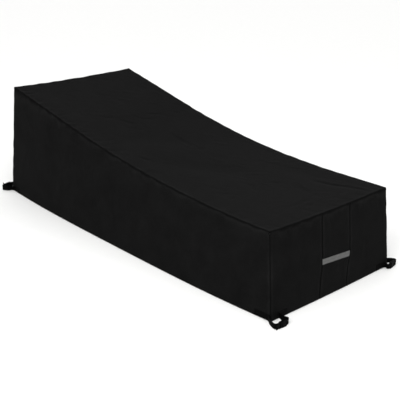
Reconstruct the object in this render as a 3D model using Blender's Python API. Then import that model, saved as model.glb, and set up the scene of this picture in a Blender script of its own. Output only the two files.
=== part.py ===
"""Fitted cover for a garden lounge chair, with a buckled strap loop at each corner.

The cover is hollow and open underneath. The head end stands high, the top
slopes down from it, sags through a long arc and runs nearly level to the foot
end. The sides bow outwards at the hem. Sizes are in metres. +X runs from the
head end to the foot end, +Y from the near side to the far side and +Z up. The
origin is on the ground, under the middle of the hem.
"""

import math
from collections import namedtuple

import bmesh
import bpy
import numpy as np
from mathutils import Matrix, Vector

# ---- driving dimensions ----------------------------------------------------
HEM_LENGTH = 2.010
TOP_WIDTH = 0.810
HEM_LIFT = 0.003            # the hem hangs this far above the ground
HEAD_FLARE = 0.030          # how far each end leans out from top to hem
FOOT_FLARE = 0.050
TOP_LENGTH = HEM_LENGTH - HEAD_FLARE - FOOT_FLARE
HEAD_CORNER_FLARE = 0.028   # how far the sides lean out at the corners
FOOT_CORNER_FLARE = 0.014
SIDE_BOW = 0.032            # outward bow of a side's hem between its corners
SIDE_BOW_POWER = 3.1        # how flat the bow is along its middle
END_BOW = 0.005
TOP_SAG = 0.007             # the top sags this far between its two long edges

CLOTH = 0.002               # thickness of the coated cloth
HEM_CLOTH = 0.0034          # thickness where the hem is turned up
HEM_DEPTH = 0.026
HEM_STEP = 0.004            # height over which the turned edge thins out
SEAM_GAP = 0.0003           # clearance where two sewn pieces meet
MITRE_SHIFT = 0.5 * SEAM_GAP * math.sqrt(2.0)

BAND_WIDTH = 0.025
BAND_THICK = 0.0012
BAND_GAP = 0.0005
BAND_NEAR_GAP = 0.0005      # from the strip's near seam to the band's end
BAND_FAR_GAP = 0.0045       # and from its other end to the far seam

WEB_WIDTH = 0.025           # strap webbing
WEB_THICK = 0.0014
WEB_GAP = 0.0006
PATCH_RISE = 0.0180         # height of the sewn webbing's centre line
LOOP_RISE = 0.0172          # and of the free strap on its way to the buckle
# Places along the sewn webbing from where it leaves, and how far they lift off.
FREE_STEPS = ((0.055, 0.0), (0.025, 0.0002), (0.0, 0.0012))
FIXED_STEPS = ((0.055, 0.0), (0.030, 0.0), (0.012, 0.0010), (0.0, 0.0055))
LEAD_SWING = 0.006          # sideways swing of the fixed strap between wall and buckle
PATH_STEPS = 3              # faces between two places on a strap's way
TURN_STEPS = 6              # faces of the half turn round a buckle bar
TURN_LEAD = 0.006           # straight webbing on each side of that half turn
TURN_PINCH = 0.75           # share of the turn's radius that the straight parts keep

# Long edges of the top: height at the head end, fall per metre, length of the
# straight slope, radius of the arc after it and rise per metre that ends the arc.
Edge = namedtuple("Edge", "head_height fall slope_run radius foot_rise")
EDGES = {
    "near": Edge(0.608, 0.190, 0.60, 6.40, 0.050),
    "far": Edge(0.616, 0.216, 0.57, 4.80, 0.009),
}

# Soft folds, measured on the flat panel from its head (or near) top corner:
# centre along and down the panel, direction, half length, half width and depth
# (a positive depth is a trough, a negative one a ridge).
Fold = namedtuple("Fold", "along down turn half_length half_width depth")
FOLDS = {
    "top": [
        Fold(1.62, 0.68, 9.0, 0.26, 0.045, 0.0050),
        Fold(0.86, 0.36, 64.0, 0.22, 0.070, 0.0035),
        Fold(1.22, 0.30, 40.0, 0.24, 0.080, 0.0040),
        Fold(0.42, 0.50, -58.0, 0.20, 0.075, -0.0030),
    ],
    "near": [
        Fold(0.44, 0.30, 86.0, 0.22, 0.055, 0.0050),
        Fold(0.60, 0.27, 95.0, 0.20, 0.050, -0.0045),
        Fold(0.98, 0.24, 88.0, 0.18, 0.070, 0.0040),
        Fold(1.42, 0.22, 92.0, 0.16, 0.065, -0.0035),
        Fold(0.16, 0.22, 8.0, 0.12, 0.045, 0.0030),
    ],
    "far": [
        Fold(0.36, 0.31, 92.0, 0.22, 0.060, 0.0045),
        Fold(0.78, 0.26, 85.0, 0.20, 0.065, -0.0045),
        Fold(1.18, 0.22, 94.0, 0.17, 0.070, 0.0040),
        Fold(1.60, 0.20, 88.0, 0.15, 0.060, -0.0030),
    ],
    "head": [
        Fold(0.24, 0.34, 80.0, 0.24, 0.060, 0.0040),
        Fold(0.56, 0.30, 97.0, 0.24, 0.070, -0.0035),
    ],
    "foot": [],
}

# Seams of the foot end's centre strip: depth down the panel and the two seams'
# places across it, all as fractions of the panel. They lean below the band.
StripSeam = namedtuple("StripSeam", "down near far")
STRIP_SEAMS = [
    StripSeam(0.00, 0.411, 0.653),
    StripSeam(0.60, 0.405, 0.644),
    StripSeam(0.78, 0.386, 0.618),
    StripSeam(1.00, 0.370, 0.601),
]
BAND_DOWN_NEAR = 0.576      # centre of the band down the panel, at each end
BAND_DOWN_FAR = 0.6105

# Corner strap loops: outward signs along X and Y, how far the buckle's plug
# stands out from the end of the cover and past its side, how far the buckle is
# turned towards the end, how far from the corner the two straps leave the side
# and the end, and how the free end lies.
Corner = namedtuple("Corner", "name end side reach overhang turn leaving landing tail")
CORNERS = [
    Corner("foot_near", 1, -1, 0.058, 0.015, 0.0, 0.030, 0.046, "low"),
    Corner("foot_far", 1, 1, 0.020, 0.023, -6.0, 0.044, 0.040, "leaning"),
    Corner("head_near", -1, -1, 0.037, 0.029, -12.0, 0.030, 0.030, "raised"),
    Corner("head_far", -1, 1, 0.053, 0.016, 8.0, 0.034, 0.050, "low"),
]

# Way of the free strap from the side to its bend: out from the end, past the side.
Way = namedtuple("Way", "out past")
FREE_WAYS = {
    "foot_near": [Way(-0.010, 0.006), Way(0.0165, 0.024)],
    "foot_far": [Way(-0.026, 0.008), Way(-0.016, 0.020), Way(-0.006, 0.032)],
    "head_near": [Way(-0.014, 0.010), Way(-0.010, 0.026), Way(0.001, 0.039)],
    "head_far": [Way(-0.013, 0.009), Way(0.012, 0.026)],
}

# How the webbing nears a buckle bar: distance back from the bar's edge and
# distance in from the buckle's centre line (out, when negative).
Near = namedtuple("Near", "back inwards")
OUTER_BEND = [Near(0.0190, 0.0110), Near(0.0125, 0.0028)]
ROUND_BEND = [Near(0.0200, 0.0085), Near(0.0130, -0.0020)]
FIXED_BEND = [Near(0.0195, 0.0078), Near(0.0135, -0.0004)]
TIGHT_BEND = [Near(0.0155, 0.0062), Near(0.0118, -0.0008)]

# The free end past the bar: the face it lies on (1 outer, -1 inner), the bend
# before the bar that suits it, and rows of distance back from the bar, distance
# off the buckle's centre line and rise.
Lay = namedtuple("Lay", "back off rise")
Tail = namedtuple("Tail", "face bend lays")
TAILS = {
    "low": Tail(1, OUTER_BEND, [
        Lay(0.0125, 0.0040, 0.0), Lay(0.0175, 0.0042, -0.0004), Lay(0.0230, 0.0030, -0.0010)]),
    "leaning": Tail(-1, ROUND_BEND, [
        Lay(0.0105, 0.0050, 0.0006), Lay(0.0128, 0.0080, 0.0020), Lay(0.0142, 0.0115, 0.0042),
        Lay(0.0148, 0.0150, 0.0064)]),
    "raised": Tail(-1, ROUND_BEND, [
        Lay(0.0110, 0.0050, 0.0012), Lay(0.0134, 0.0072, 0.0050), Lay(0.0150, 0.0098, 0.0106),
        Lay(0.0160, 0.0126, 0.0176), Lay(0.0164, 0.0150, 0.0250)]),
}
FIXED_BENDS = {"foot_near": FIXED_BEND, "foot_far": TIGHT_BEND,
               "head_near": TIGHT_BEND, "head_far": FIXED_BEND}
SEWN_END = [Lay(0.0100, 0.0024, 0.0), Lay(0.0128, 0.0020, 0.0)]

# Side-release buckle, in its own frame: X along the strap, Y thickness, Z width.
SOCKET_LENGTH = 0.027
SOCKET_WIDTH = 0.033
SOCKET_THICK = 0.011
BAR = 0.003                 # webbing bars are this thick both ways
BAR_SLOT = 0.0048
SLOT_HEIGHT = 0.0264
MOUTH_DEPTH = 0.0165
MOUTH_HEIGHT = 0.0270
MOUTH_THICK = 0.0064
WINDOW_LENGTH = 0.009       # side windows, where the hooks show
WINDOW_INSET = 0.0055       # from the mouth to a window
PLUG_LENGTH = 0.0170
PLUG_WIDTH = 0.031
PLUG_THICK = 0.009
ARM_LENGTH = 0.0150
ARM_THICK = 0.0052          # thickness of the arms and of the tongue between them
ARM_WIDTH = 0.0034
ARM_OUT = 0.0118            # outer faces of the arms and of their hooks
HOOK_OUT = 0.0150
HOOK_LENGTH = 0.0070
HOOK_BACK = 0.0005          # clearance behind a hook in its window
HOOK_OVERLAP = 0.0010       # the hooks reach this far into their arms
TONGUE_WIDTH = 0.0050
TONGUE_SHORT = 0.003        # the tongue ends this far before the arms
ARM_ROOT = 0.003            # the arms start this far inside the base
PAST = 0.001                # cutters pass the faces that they cut by this
BUCKLE_LENGTH = SOCKET_LENGTH + SEAM_GAP + PLUG_LENGTH
BUCKLE_RISE = 0.5 * SOCKET_WIDTH
EDGE_ROUND = 0.0011

TOP_HEAD_X = HEAD_FLARE - 0.5 * HEM_LENGTH
HALF_WIDTH = 0.5 * TOP_WIDTH
ALONG_STEPS = 40
ACROSS_STEPS = 10
SIGN = {"near": -1, "far": 1, "head": -1, "foot": 1}
NUDGE = 1e-4                # step for measuring a surface's slope
SEAM_FADE = 0.06            # folds fade out over this distance from a seam
HEM_ROW_SHARES = (0.0, 0.22, 0.44, 0.66, 0.84, 1.0)     # rows down to the hem's top edge
END_STEPS = {"foot_end_near": 5, "foot_strip": 4, "foot_end_far": 4}
BAND_STEPS = 4


# ---- shapes of the panels --------------------------------------------------
def mix(first, second, share):
    """Blend two numbers or vectors."""
    return first * (1.0 - share) + second * share


def edge_height(edge, run):
    """Height of a long top edge at a distance from the head end."""
    slope_angle = math.atan(edge.fall)
    foot_angle = math.atan(edge.foot_rise)
    slope_end = edge.head_height - edge.fall * edge.slope_run
    arc_x = edge.slope_run + edge.radius * math.sin(slope_angle)
    arc_z = slope_end + edge.radius * math.cos(slope_angle)
    arc_end = arc_x + edge.radius * math.sin(foot_angle)
    if run <= edge.slope_run:
        height = edge.head_height - edge.fall * run
    elif run <= arc_end:
        height = arc_z - math.sqrt(edge.radius ** 2 - (run - arc_x) ** 2)
    else:
        low = arc_z - edge.radius * math.cos(foot_angle)
        height = low + edge.foot_rise * (run - arc_end)
    return height + HEM_LIFT


def fold_depth(panel, along, down, length, depth):
    """Sum of a panel's soft folds at a point, fading out towards its seams."""
    total = 0.0
    for fold in FOLDS[panel]:
        turn = math.radians(fold.turn)
        step_x = along - fold.along
        step_y = down - fold.down
        ahead = (step_x * math.cos(turn) + step_y * math.sin(turn)) / fold.half_length
        aside = (step_y * math.cos(turn) - step_x * math.sin(turn)) / fold.half_width
        total += fold.depth * math.exp(-ahead ** 4 - aside ** 2)
    margin = min(along, length - along, down, depth - down)
    return total * min(1.0, max(0.0, margin / SEAM_FADE))


def top_point(along, across):
    """Outer point of the top, from head to foot and from near to far, 0 to 1."""
    run = TOP_LENGTH * along
    near = edge_height(EDGES["near"], run)
    far = edge_height(EDGES["far"], run)
    sag = TOP_SAG * (1.0 - (2.0 * across - 1.0) ** 2)
    sag += fold_depth("top", run, TOP_WIDTH * across, TOP_LENGTH, TOP_WIDTH)
    return Vector((TOP_HEAD_X + run, TOP_WIDTH * (across - 0.5), mix(near, far, across) - sag))


def corner_flare(along):
    """How far a side leans out at the hem, without its bow."""
    return mix(HEAD_CORNER_FLARE, FOOT_CORNER_FLARE, along)


def side_point(side, along, down):
    """Outer point of a long side, from head to foot and from top to hem."""
    top = top_point(along, 0.0 if side == "near" else 1.0)
    bow = SIDE_BOW * (1.0 - abs(2.0 * along - 1.0) ** SIDE_BOW_POWER)
    out = HALF_WIDTH + corner_flare(along) + bow
    hem = Vector((HEM_LENGTH * (along - 0.5), SIGN[side] * out, HEM_LIFT))
    point = mix(top, hem, down)
    height = top.z - HEM_LIFT
    depth = fold_depth(side, TOP_LENGTH * along, height * down, TOP_LENGTH, height)
    point.y -= SIGN[side] * depth
    return point


def end_point(end, across, down):
    """Outer point of an end, from near to far and from top to hem."""
    along = 0.0 if end == "head" else 1.0
    top = top_point(along, across)
    bow = END_BOW * (1.0 - (2.0 * across - 1.0) ** 2)
    half = HALF_WIDTH + corner_flare(along)
    hem = Vector((SIGN[end] * (0.5 * HEM_LENGTH + bow), half * (2.0 * across - 1.0), HEM_LIFT))
    point = mix(top, hem, down)
    height = top.z - HEM_LIFT
    depth = fold_depth(end, TOP_WIDTH * across, height * down, TOP_WIDTH, height)
    point.x -= SIGN[end] * depth
    return point


def outward(place, first, second, outside):
    """Unit normal of a surface, on the side that the outside direction gives."""
    low_a, high_a = max(0.0, first - NUDGE), min(1.0, first + NUDGE)
    low_b, high_b = max(0.0, second - NUDGE), min(1.0, second + NUDGE)
    along = place(high_a, second) - place(low_a, second)
    down = place(first, high_b) - place(first, low_b)
    normal = along.cross(down).normalized()
    return normal if normal.dot(outside) > 0.0 else -normal


def top_normal(along, across):
    """Outward normal of the top."""
    return outward(top_point, along, across, Vector((0, 0, 1)))


def side_normal(side, along, down):
    """Outward normal of a long side."""
    return outward(lambda a, d: side_point(side, a, d), along, down, Vector((0, SIGN[side], 0)))


def end_normal(end, across, down):
    """Outward normal of an end."""
    return outward(lambda a, d: end_point(end, a, d), across, down, Vector((SIGN[end], 0, 0)))


# ---- making solids ---------------------------------------------------------
def clear_scene():
    """Remove every object that the file starts with."""
    for item in list(bpy.data.objects):
        bpy.data.objects.remove(item, do_unlink=True)


def make_material(name, color, roughness, metallic=0.0):
    """Plain material with its own colour, roughness and metallic value."""
    material = bpy.data.materials.new(name)
    material.use_nodes = True
    shader = material.node_tree.nodes["Principled BSDF"]
    shader.inputs["Base Color"].default_value = (*color, 1.0)
    shader.inputs["Roughness"].default_value = roughness
    shader.inputs["Metallic"].default_value = metallic
    return material


def face_outwards(bm):
    """Point every face of a closed bmesh outwards, thin sheets included."""
    bmesh.ops.recalc_face_normals(bm, faces=bm.faces[:])
    if bm.calc_volume(signed=True) < 0.0:
        bmesh.ops.reverse_faces(bm, faces=bm.faces[:])


def add_object(name, bm, material):
    """Turn a bmesh into a named object with its material."""
    face_outwards(bm)
    mesh = bpy.data.meshes.new(name)
    bm.to_mesh(mesh)
    bm.free()
    mesh.materials.append(material)
    item = bpy.data.objects.new(name, mesh)
    bpy.context.scene.collection.objects.link(item)
    return item


def closed_sheet(name, columns, rows, skin, material):
    """Closed sheet whose outer and inner faces are placed by skin(column, row, layer)."""
    bm = bmesh.new()
    bmesh.ops.create_grid(bm, x_segments=columns, y_segments=rows, size=0.5)
    inner = bmesh.ops.extrude_face_region(bm, geom=bm.faces[:])["geom"]
    inner_verts = {item for item in inner if isinstance(item, bmesh.types.BMVert)}
    for vert in bm.verts:
        column = round((vert.co.x + 0.5) * columns)
        row = round((vert.co.y + 0.5) * rows)
        vert.co = skin(column, row, "inner" if vert in inner_verts else "outer")
    return add_object(name, bm, material)


def sewn_offset(normal, corners, flats, thickness):
    """Step from the outer face to the inner one that suits every seam met."""
    faces = [normal, *corners, *flats]
    depths = [-thickness] * (1 + len(corners)) + [0.0] * len(flats)
    step = np.linalg.pinv(np.array([tuple(face) for face in faces])) @ np.array(depths)
    return Vector(step)


def seam_shift(normal, corners, flats):
    """Step away from the neighbours that leaves the seam's clearance."""
    shift = Vector((0, 0, 0))
    for corner in corners:
        across = (corner - normal * corner.dot(normal)).normalized()
        shift -= across * MITRE_SHIFT
    for flat in flats:
        shift -= flat * (0.5 * SEAM_GAP)
    return shift


def cloth_thickness(height):
    """Thickness of the cloth at a height above the ground: the hem is doubled."""
    above = height - HEM_LIFT - HEM_DEPTH
    share = min(1.0, max(0.0, above / HEM_STEP))
    return mix(HEM_CLOTH, CLOTH, share)


def sewn_panel(name, places, place, normal, meets, material, hemmed=True):
    """Closed panel from a table of parameter pairs, mitred where it meets others.

    places[column][row] holds the two surface parameters, and meets(column,
    row) returns the normals of the panels met round a corner and the
    directions of those met flat.
    """
    def skin(column, row, layer):
        first, second = places[column][row]
        point = place(first, second)
        face = normal(first, second)
        corners, flats = meets(column, row, first, second)
        spot = point + seam_shift(face, corners, flats)
        if layer == "inner":
            thickness = cloth_thickness(point.z) if hemmed else CLOTH
            spot += sewn_offset(face, corners, flats, thickness)
        return spot

    return closed_sheet(name, len(places) - 1, len(places[0]) - 1, skin, material)


def hem_rows(height):
    """Fractions down a panel: even rows, then the top and bottom of the hem."""
    step = 1.0 - (HEM_DEPTH + HEM_STEP) / height
    hem = 1.0 - HEM_DEPTH / height
    return [step * share for share in HEM_ROW_SHARES] + [hem, 1.0]


# ---- the cloth panels ------------------------------------------------------
def build_top(material):
    """The whole top, in one piece from head to foot."""
    places = [[(column / ALONG_STEPS, row / ACROSS_STEPS) for row in range(ACROSS_STEPS + 1)]
              for column in range(ALONG_STEPS + 1)]

    def meets(column, row, along, across):
        corners = []
        if column == 0:
            corners.append(end_normal("head", across, 0.0))
        if column == ALONG_STEPS:
            corners.append(end_normal("foot", across, 0.0))
        if row == 0:
            corners.append(side_normal("near", along, 0.0))
        if row == ACROSS_STEPS:
            corners.append(side_normal("far", along, 0.0))
        return corners, []

    sewn_panel("top_panel", places, top_point, top_normal, meets, material, hemmed=False)


def build_side(side, material):
    """One long side, from the top seam to its bowed hem."""
    places = []
    for column in range(ALONG_STEPS + 1):
        along = column / ALONG_STEPS
        height = side_point(side, along, 0.0).z - HEM_LIFT
        places.append([(along, down) for down in hem_rows(height)])
    edge_across = 0.0 if side == "near" else 1.0

    def meets(column, row, along, down):
        corners = []
        if column == 0:
            corners.append(end_normal("head", edge_across, down))
        if column == ALONG_STEPS:
            corners.append(end_normal("foot", edge_across, down))
        if row == 0:
            corners.append(top_normal(along, edge_across))
        return corners, []

    sewn_panel(
        "side_" + side, places, lambda a, d: side_point(side, a, d),
        lambda a, d: side_normal(side, a, d), meets, material)


def end_places(end, low, high, steps):
    """Table of places for a stretch of an end, between two seams."""
    height = end_point(end, 0.5, 0.0).z - HEM_LIFT
    table = []
    for column in range(steps + 1):
        share = column / steps
        table.append([(mix(low(down), high(down), share), down) for down in hem_rows(height)])
    return table


def build_end_piece(name, end, low, high, steps, material):
    """One piece of an end. A seam inside the end is met flat, an outer one round a corner."""
    places = end_places(end, low, high, steps)
    across_dir = Vector((0, 1, 0))

    def meets(column, row, across, down):
        corners = []
        flats = []
        if row == 0:
            corners.append(top_normal(0.0 if end == "head" else 1.0, across))
        if column == 0:
            if low(down) <= 0.0:
                corners.append(side_normal("near", 0.0 if end == "head" else 1.0, down))
            else:
                flats.append(-across_dir)
        if column == steps:
            if high(down) >= 1.0:
                corners.append(side_normal("far", 0.0 if end == "head" else 1.0, down))
            else:
                flats.append(across_dir)
        return corners, flats

    sewn_panel(
        name, places, lambda a, d: end_point(end, a, d),
        lambda a, d: end_normal(end, a, d), meets, material)


def strip_seam(which):
    """Function that gives a strip seam's place across the foot end."""
    downs = [row.down for row in STRIP_SEAMS]
    values = [getattr(row, which) for row in STRIP_SEAMS]
    return lambda down: float(np.interp(down, downs, values))


def build_ends(material):
    """The head end in one piece, and the foot end in three."""
    build_end_piece("head_end", "head", lambda d: 0.0, lambda d: 1.0, ACROSS_STEPS, material)
    near, far = strip_seam("near"), strip_seam("far")
    seams = {"foot_end_near": (lambda d: 0.0, near), "foot_strip": (near, far),
             "foot_end_far": (far, lambda d: 1.0)}
    for name, (low, high) in seams.items():
        build_end_piece(name, "foot", low, high, END_STEPS[name], material)


def build_band(material):
    """The grey band sewn across the foot end's strip, between its two seams."""
    near, far = strip_seam("near"), strip_seam("far")
    height = end_point("foot", 0.5, 0.0).z - HEM_LIFT
    half = 0.5 * BAND_WIDTH / height
    width = TOP_WIDTH + 2.0 * FOOT_CORNER_FLARE

    def skin(column, row, layer):
        share = column / BAND_STEPS
        down = mix(BAND_DOWN_NEAR, BAND_DOWN_FAR, share) + (half if row else -half)
        across = mix(near(down) + BAND_NEAR_GAP / width, far(down) - BAND_FAR_GAP / width, share)
        lift = BAND_GAP + (BAND_THICK if layer == "outer" else 0.0)
        return end_point("foot", across, down) + end_normal("foot", across, down) * lift

    closed_sheet("foot_band", BAND_STEPS, 1, skin, material)


# ---- corner straps ---------------------------------------------------------
Spot = namedtuple("Spot", "place up")


def wall_spot(corner, wall, distance, lift):
    """Centre of webbing on a side or an end: its distance from the corner and lift off."""
    end = "foot" if corner.end > 0 else "head"
    side = "far" if corner.side > 0 else "near"
    if wall == "side":
        share = distance / HEM_LENGTH
        along = share if end == "head" else 1.0 - share
        place = lambda down: side_point(side, along, down)
        face = lambda down: side_normal(side, along, down)
    else:
        share = distance / (TOP_WIDTH + 2.0 * corner_flare(0.0 if end == "head" else 1.0))
        across = share if side == "near" else 1.0 - share
        place = lambda down: end_point(end, across, down)
        face = lambda down: end_normal(end, across, down)
    height = place(0.0).z - HEM_LIFT
    down = 1.0 - (PATCH_RISE - HEM_LIFT) / height
    up = (place(down - NUDGE) - place(down)).normalized()
    return Spot(place(down) + face(down) * (WEB_GAP + 0.5 * WEB_THICK + lift), up)


def loop_spot(corner, out, past, rise):
    """Point of the loop, measured outwards from the hem's corner."""
    end_x = 0.5 * HEM_LENGTH
    side_y = HALF_WIDTH + corner_flare(0.0 if corner.end < 0 else 1.0)
    place = Vector((corner.end * (end_x + out), corner.side * (side_y + past), rise))
    return Spot(place, Vector((0, 0, 1)))


def smooth_path(spots, steps):
    """Catmull-Rom curve through the spots, with evenly shared steps."""
    places = [spots[0].place * 2.0 - spots[1].place]
    places += [spot.place for spot in spots]
    places.append(spots[-1].place * 2.0 - spots[-2].place)
    path = []
    for index in range(len(spots) - 1):
        p0, p1, p2, p3 = places[index:index + 4]
        for step in range(steps):
            t = step / steps
            place = 0.5 * (2.0 * p1 + (p2 - p0) * t + (2.0 * p0 - 5.0 * p1 + 4.0 * p2 - p3) * t ** 2
                           + (3.0 * p1 - p0 - 3.0 * p2 + p3) * t ** 3)
            up = mix(spots[index].up, spots[index + 1].up, t).normalized()
            path.append(Spot(place, up))
    path.append(spots[-1])
    return path


def ribbon(name, path, material):
    """Closed flat ribbon of webbing along a path."""
    places = [spot.place for spot in path]

    def skin(column, row, layer):
        before = places[max(0, column - 1)]
        after = places[min(len(places) - 1, column + 1)]
        ahead = (after - before).normalized()
        aside = ahead.cross(path[column].up).normalized()
        up = aside.cross(ahead)
        lift = 0.5 * WEB_THICK * (1.0 if layer == "outer" else -1.0)
        return places[column] + up * (WEB_WIDTH * (row - 0.5)) + aside * lift

    return closed_sheet(name, len(path) - 1, 1, skin, material)


def bar_turn(bar, ahead, face):
    """Webbing path round a buckle bar: in along ahead on one face, out on the other."""
    radius = BAR * math.sqrt(0.5) + SEAM_GAP + 0.5 * WEB_THICK
    up = Vector((0, 0, 1))
    path = [Spot(bar + face * (TURN_PINCH * radius) - ahead * TURN_LEAD, up)]
    for step in range(TURN_STEPS + 1):
        angle = math.pi * (0.5 - step / TURN_STEPS)
        place = bar + ahead * (radius * math.cos(angle)) + face * (radius * math.sin(angle))
        path.append(Spot(place, up))
    path.append(Spot(bar - face * (TURN_PINCH * radius) - ahead * TURN_LEAD, up))
    return path


def turned_back(bar, ahead, face, lays):
    """Path of the webbing that lies back from a bar, on its own face."""
    up = Vector((0, 0, 1))
    return [Spot(bar - ahead * lay.back + face * lay.off + up * lay.rise, up) for lay in lays]


def buckle_frame(corner):
    """Matrix of a corner's buckle: X from the socket's bar to the plug's, Z up."""
    tip = loop_spot(corner, corner.reach, corner.overhang, BUCKLE_RISE).place
    ahead = buckle_direction(corner)
    up = Vector((0, 0, 1))
    turn = Matrix((-ahead, up.cross(-ahead), up)).transposed().to_4x4()
    return Matrix.Translation(tip + ahead * BUCKLE_LENGTH) @ turn


def buckle_direction(corner):
    """Level direction from the plug's bar to the socket's, along the end of the cover."""
    turn = math.radians(corner.turn)
    return Vector((-corner.end * math.sin(turn), -corner.side * math.cos(turn), 0))


def buckle_outside(corner):
    """Level direction square to the buckle, away from the cover."""
    turn = math.radians(corner.turn)
    return Vector((corner.end * math.cos(turn), -corner.side * math.sin(turn), 0))


def near_bar(tip, ahead, out, bend):
    """Spots of the webbing's bend before a buckle bar."""
    up = Vector((0, 0, 1))
    return [Spot(tip - ahead * near.back - out * near.inwards, up) for near in bend]


def build_free_strap(corner, frame, material):
    """Webbing from the side of the cover round the plug's bar, with its free end."""
    ahead = buckle_direction(corner)
    out = buckle_outside(corner)
    tip = frame @ Vector((BUCKLE_LENGTH, 0, 0))
    bar = tip + ahead * (0.5 * BAR)
    tail = TAILS[corner.tail]
    spots = [wall_spot(corner, "side", corner.leaving + step, lift) for step, lift in FREE_STEPS]
    spots += [loop_spot(corner, way.out, way.past, LOOP_RISE) for way in FREE_WAYS[corner.name]]
    spots += near_bar(tip, ahead, out, tail.bend)
    turn = bar_turn(bar, ahead, -out * tail.face)
    lead = smooth_path(spots + turn[:1], PATH_STEPS)
    end = turned_back(bar, ahead, out * tail.face, tail.lays)
    ribbon("strap_free_" + corner.name, lead + turn[1:] + end, material)


def build_fixed_strap(corner, frame, material):
    """Webbing from the end of the cover to the socket's bar, folded back and sewn."""
    ahead = -buckle_direction(corner)
    out = buckle_outside(corner)
    tip = frame @ Vector((0, 0, 0))
    bar = tip + ahead * (0.5 * BAR)
    spots = [wall_spot(corner, "end", corner.landing + step, lift) for step, lift in FIXED_STEPS]
    bend = near_bar(tip, ahead, out, FIXED_BENDS[corner.name])
    middle = mix(spots[-1].place, bend[0].place, 0.5)
    middle += Vector((0, corner.side * LEAD_SWING, 0))
    spots += [Spot(middle, bend[0].up)] + bend
    turn = bar_turn(bar, ahead, out)
    lead = smooth_path(spots + turn[:1], PATH_STEPS)
    sewn = turned_back(bar, ahead, -out, SEWN_END)
    ribbon("strap_fixed_" + corner.name, lead + turn[1:] + sewn, material)


# ---- buckles ---------------------------------------------------------------
def block(bm, low, high):
    """Box between two corners, added to a bmesh."""
    low, high = Vector(low), Vector(high)
    size = high - low
    middle = Matrix.Translation((low + high) * 0.5)
    scale = Matrix.Diagonal((*size, 1.0))
    return bmesh.ops.create_cube(bm, size=1.0, matrix=middle @ scale)["verts"]


def block_object(name, low, high, rounding=0.0):
    """Box as an object, with its edges rounded."""
    bm = bmesh.new()
    block(bm, low, high)
    if rounding:
        bmesh.ops.bevel(bm, geom=bm.edges[:], offset=rounding, segments=1, profile=0.5,
                        affect="EDGES", clamp_overlap=True, material=-1)
    face_outwards(bm)
    mesh = bpy.data.meshes.new(name)
    bm.to_mesh(mesh)
    bm.free()
    item = bpy.data.objects.new(name, mesh)
    bpy.context.scene.collection.objects.link(item)
    return item


def cut_with(item, name, boxes, operation="DIFFERENCE"):
    """Cut boxes from an object, or join them to it, one Boolean each."""
    for index, (low, high) in enumerate(boxes):
        tool = block_object("%s_%s_%d" % (item.name, name, index), low, high)
        tool.hide_render = True
        tool.display_type = "WIRE"
        tool.parent = item
        cut = item.modifiers.new(tool.name, "BOOLEAN")
        cut.operation = operation
        cut.solver = "EXACT"
        cut.object = tool


def build_socket(name, frame, material):
    """Buckle socket: webbing bar and slot, open mouth and two side windows."""
    half_w, half_t = 0.5 * SOCKET_WIDTH, 0.5 * SOCKET_THICK
    slot, mouth_w, mouth_t = 0.5 * SLOT_HEIGHT, 0.5 * MOUTH_HEIGHT, 0.5 * MOUTH_THICK
    slot_end = BAR + BAR_SLOT
    item = block_object(name, (0, -half_t, -half_w), (SOCKET_LENGTH, half_t, half_w), EDGE_ROUND)
    mouth = SOCKET_LENGTH - MOUTH_DEPTH
    window = SOCKET_LENGTH - WINDOW_LENGTH - WINDOW_INSET
    cut_with(item, "cut", [
        ((BAR, -half_t - PAST, -slot), (slot_end, half_t + PAST, slot)),
        ((-PAST, 0.5 * BAR, -slot), (slot_end, half_t + PAST, slot)),
        ((-PAST, -half_t - PAST, -slot), (slot_end, -0.5 * BAR, slot)),
        ((mouth, -mouth_t, -mouth_w), (SOCKET_LENGTH + PAST, mouth_t, mouth_w)),
        ((window, -mouth_t, -half_w - PAST), (window + WINDOW_LENGTH, mouth_t, half_w + PAST)),
    ])
    item.data.materials.append(material)
    item.matrix_world = frame
    return item


def build_plug(name, frame, material):
    """Buckle plug: base with its bar and slot, middle tongue and two hooked arms."""
    half_w, half_t, arm_t = 0.5 * PLUG_WIDTH, 0.5 * PLUG_THICK, 0.5 * ARM_THICK
    slot, tongue = 0.5 * SLOT_HEIGHT, 0.5 * TONGUE_WIDTH
    start = SOCKET_LENGTH + SEAM_GAP
    end = BUCKLE_LENGTH
    slot_from = end - BAR - BAR_SLOT
    root = start + ARM_ROOT
    tip = start - ARM_LENGTH
    hook = SOCKET_LENGTH - WINDOW_INSET - WINDOW_LENGTH + HOOK_BACK
    arm_in, hook_in = ARM_OUT - ARM_WIDTH, ARM_OUT - HOOK_OVERLAP
    item = block_object(name, (start, -half_t, -half_w), (end, half_t, half_w), EDGE_ROUND)
    cut_with(item, "cut", [
        ((slot_from, -half_t - PAST, -slot), (end - BAR, half_t + PAST, slot)),
        ((slot_from, 0.5 * BAR, -slot), (end + PAST, half_t + PAST, slot)),
        ((slot_from, -half_t - PAST, -slot), (end + PAST, -0.5 * BAR, slot)),
    ])
    cut_with(item, "join", [
        ((tip + TONGUE_SHORT, -arm_t, -tongue), (root, arm_t, tongue)),
        ((tip, -arm_t, arm_in), (root, arm_t, ARM_OUT)),
        ((tip, -arm_t, -ARM_OUT), (root, arm_t, -arm_in)),
        ((hook, -arm_t, hook_in), (hook + HOOK_LENGTH, arm_t, HOOK_OUT)),
        ((hook, -arm_t, -HOOK_OUT), (hook + HOOK_LENGTH, arm_t, -hook_in)),
    ], "UNION")
    item.data.materials.append(material)
    item.matrix_world = frame
    return item


def build_corner(corner, webbing, plastic):
    """One corner's two webbing pieces and the buckle that joins them."""
    frame = buckle_frame(corner)
    build_fixed_strap(corner, frame, webbing)
    build_free_strap(corner, frame, webbing)
    build_socket("buckle_socket_" + corner.name, frame, plastic)
    build_plug("buckle_plug_" + corner.name, frame, plastic)


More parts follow.
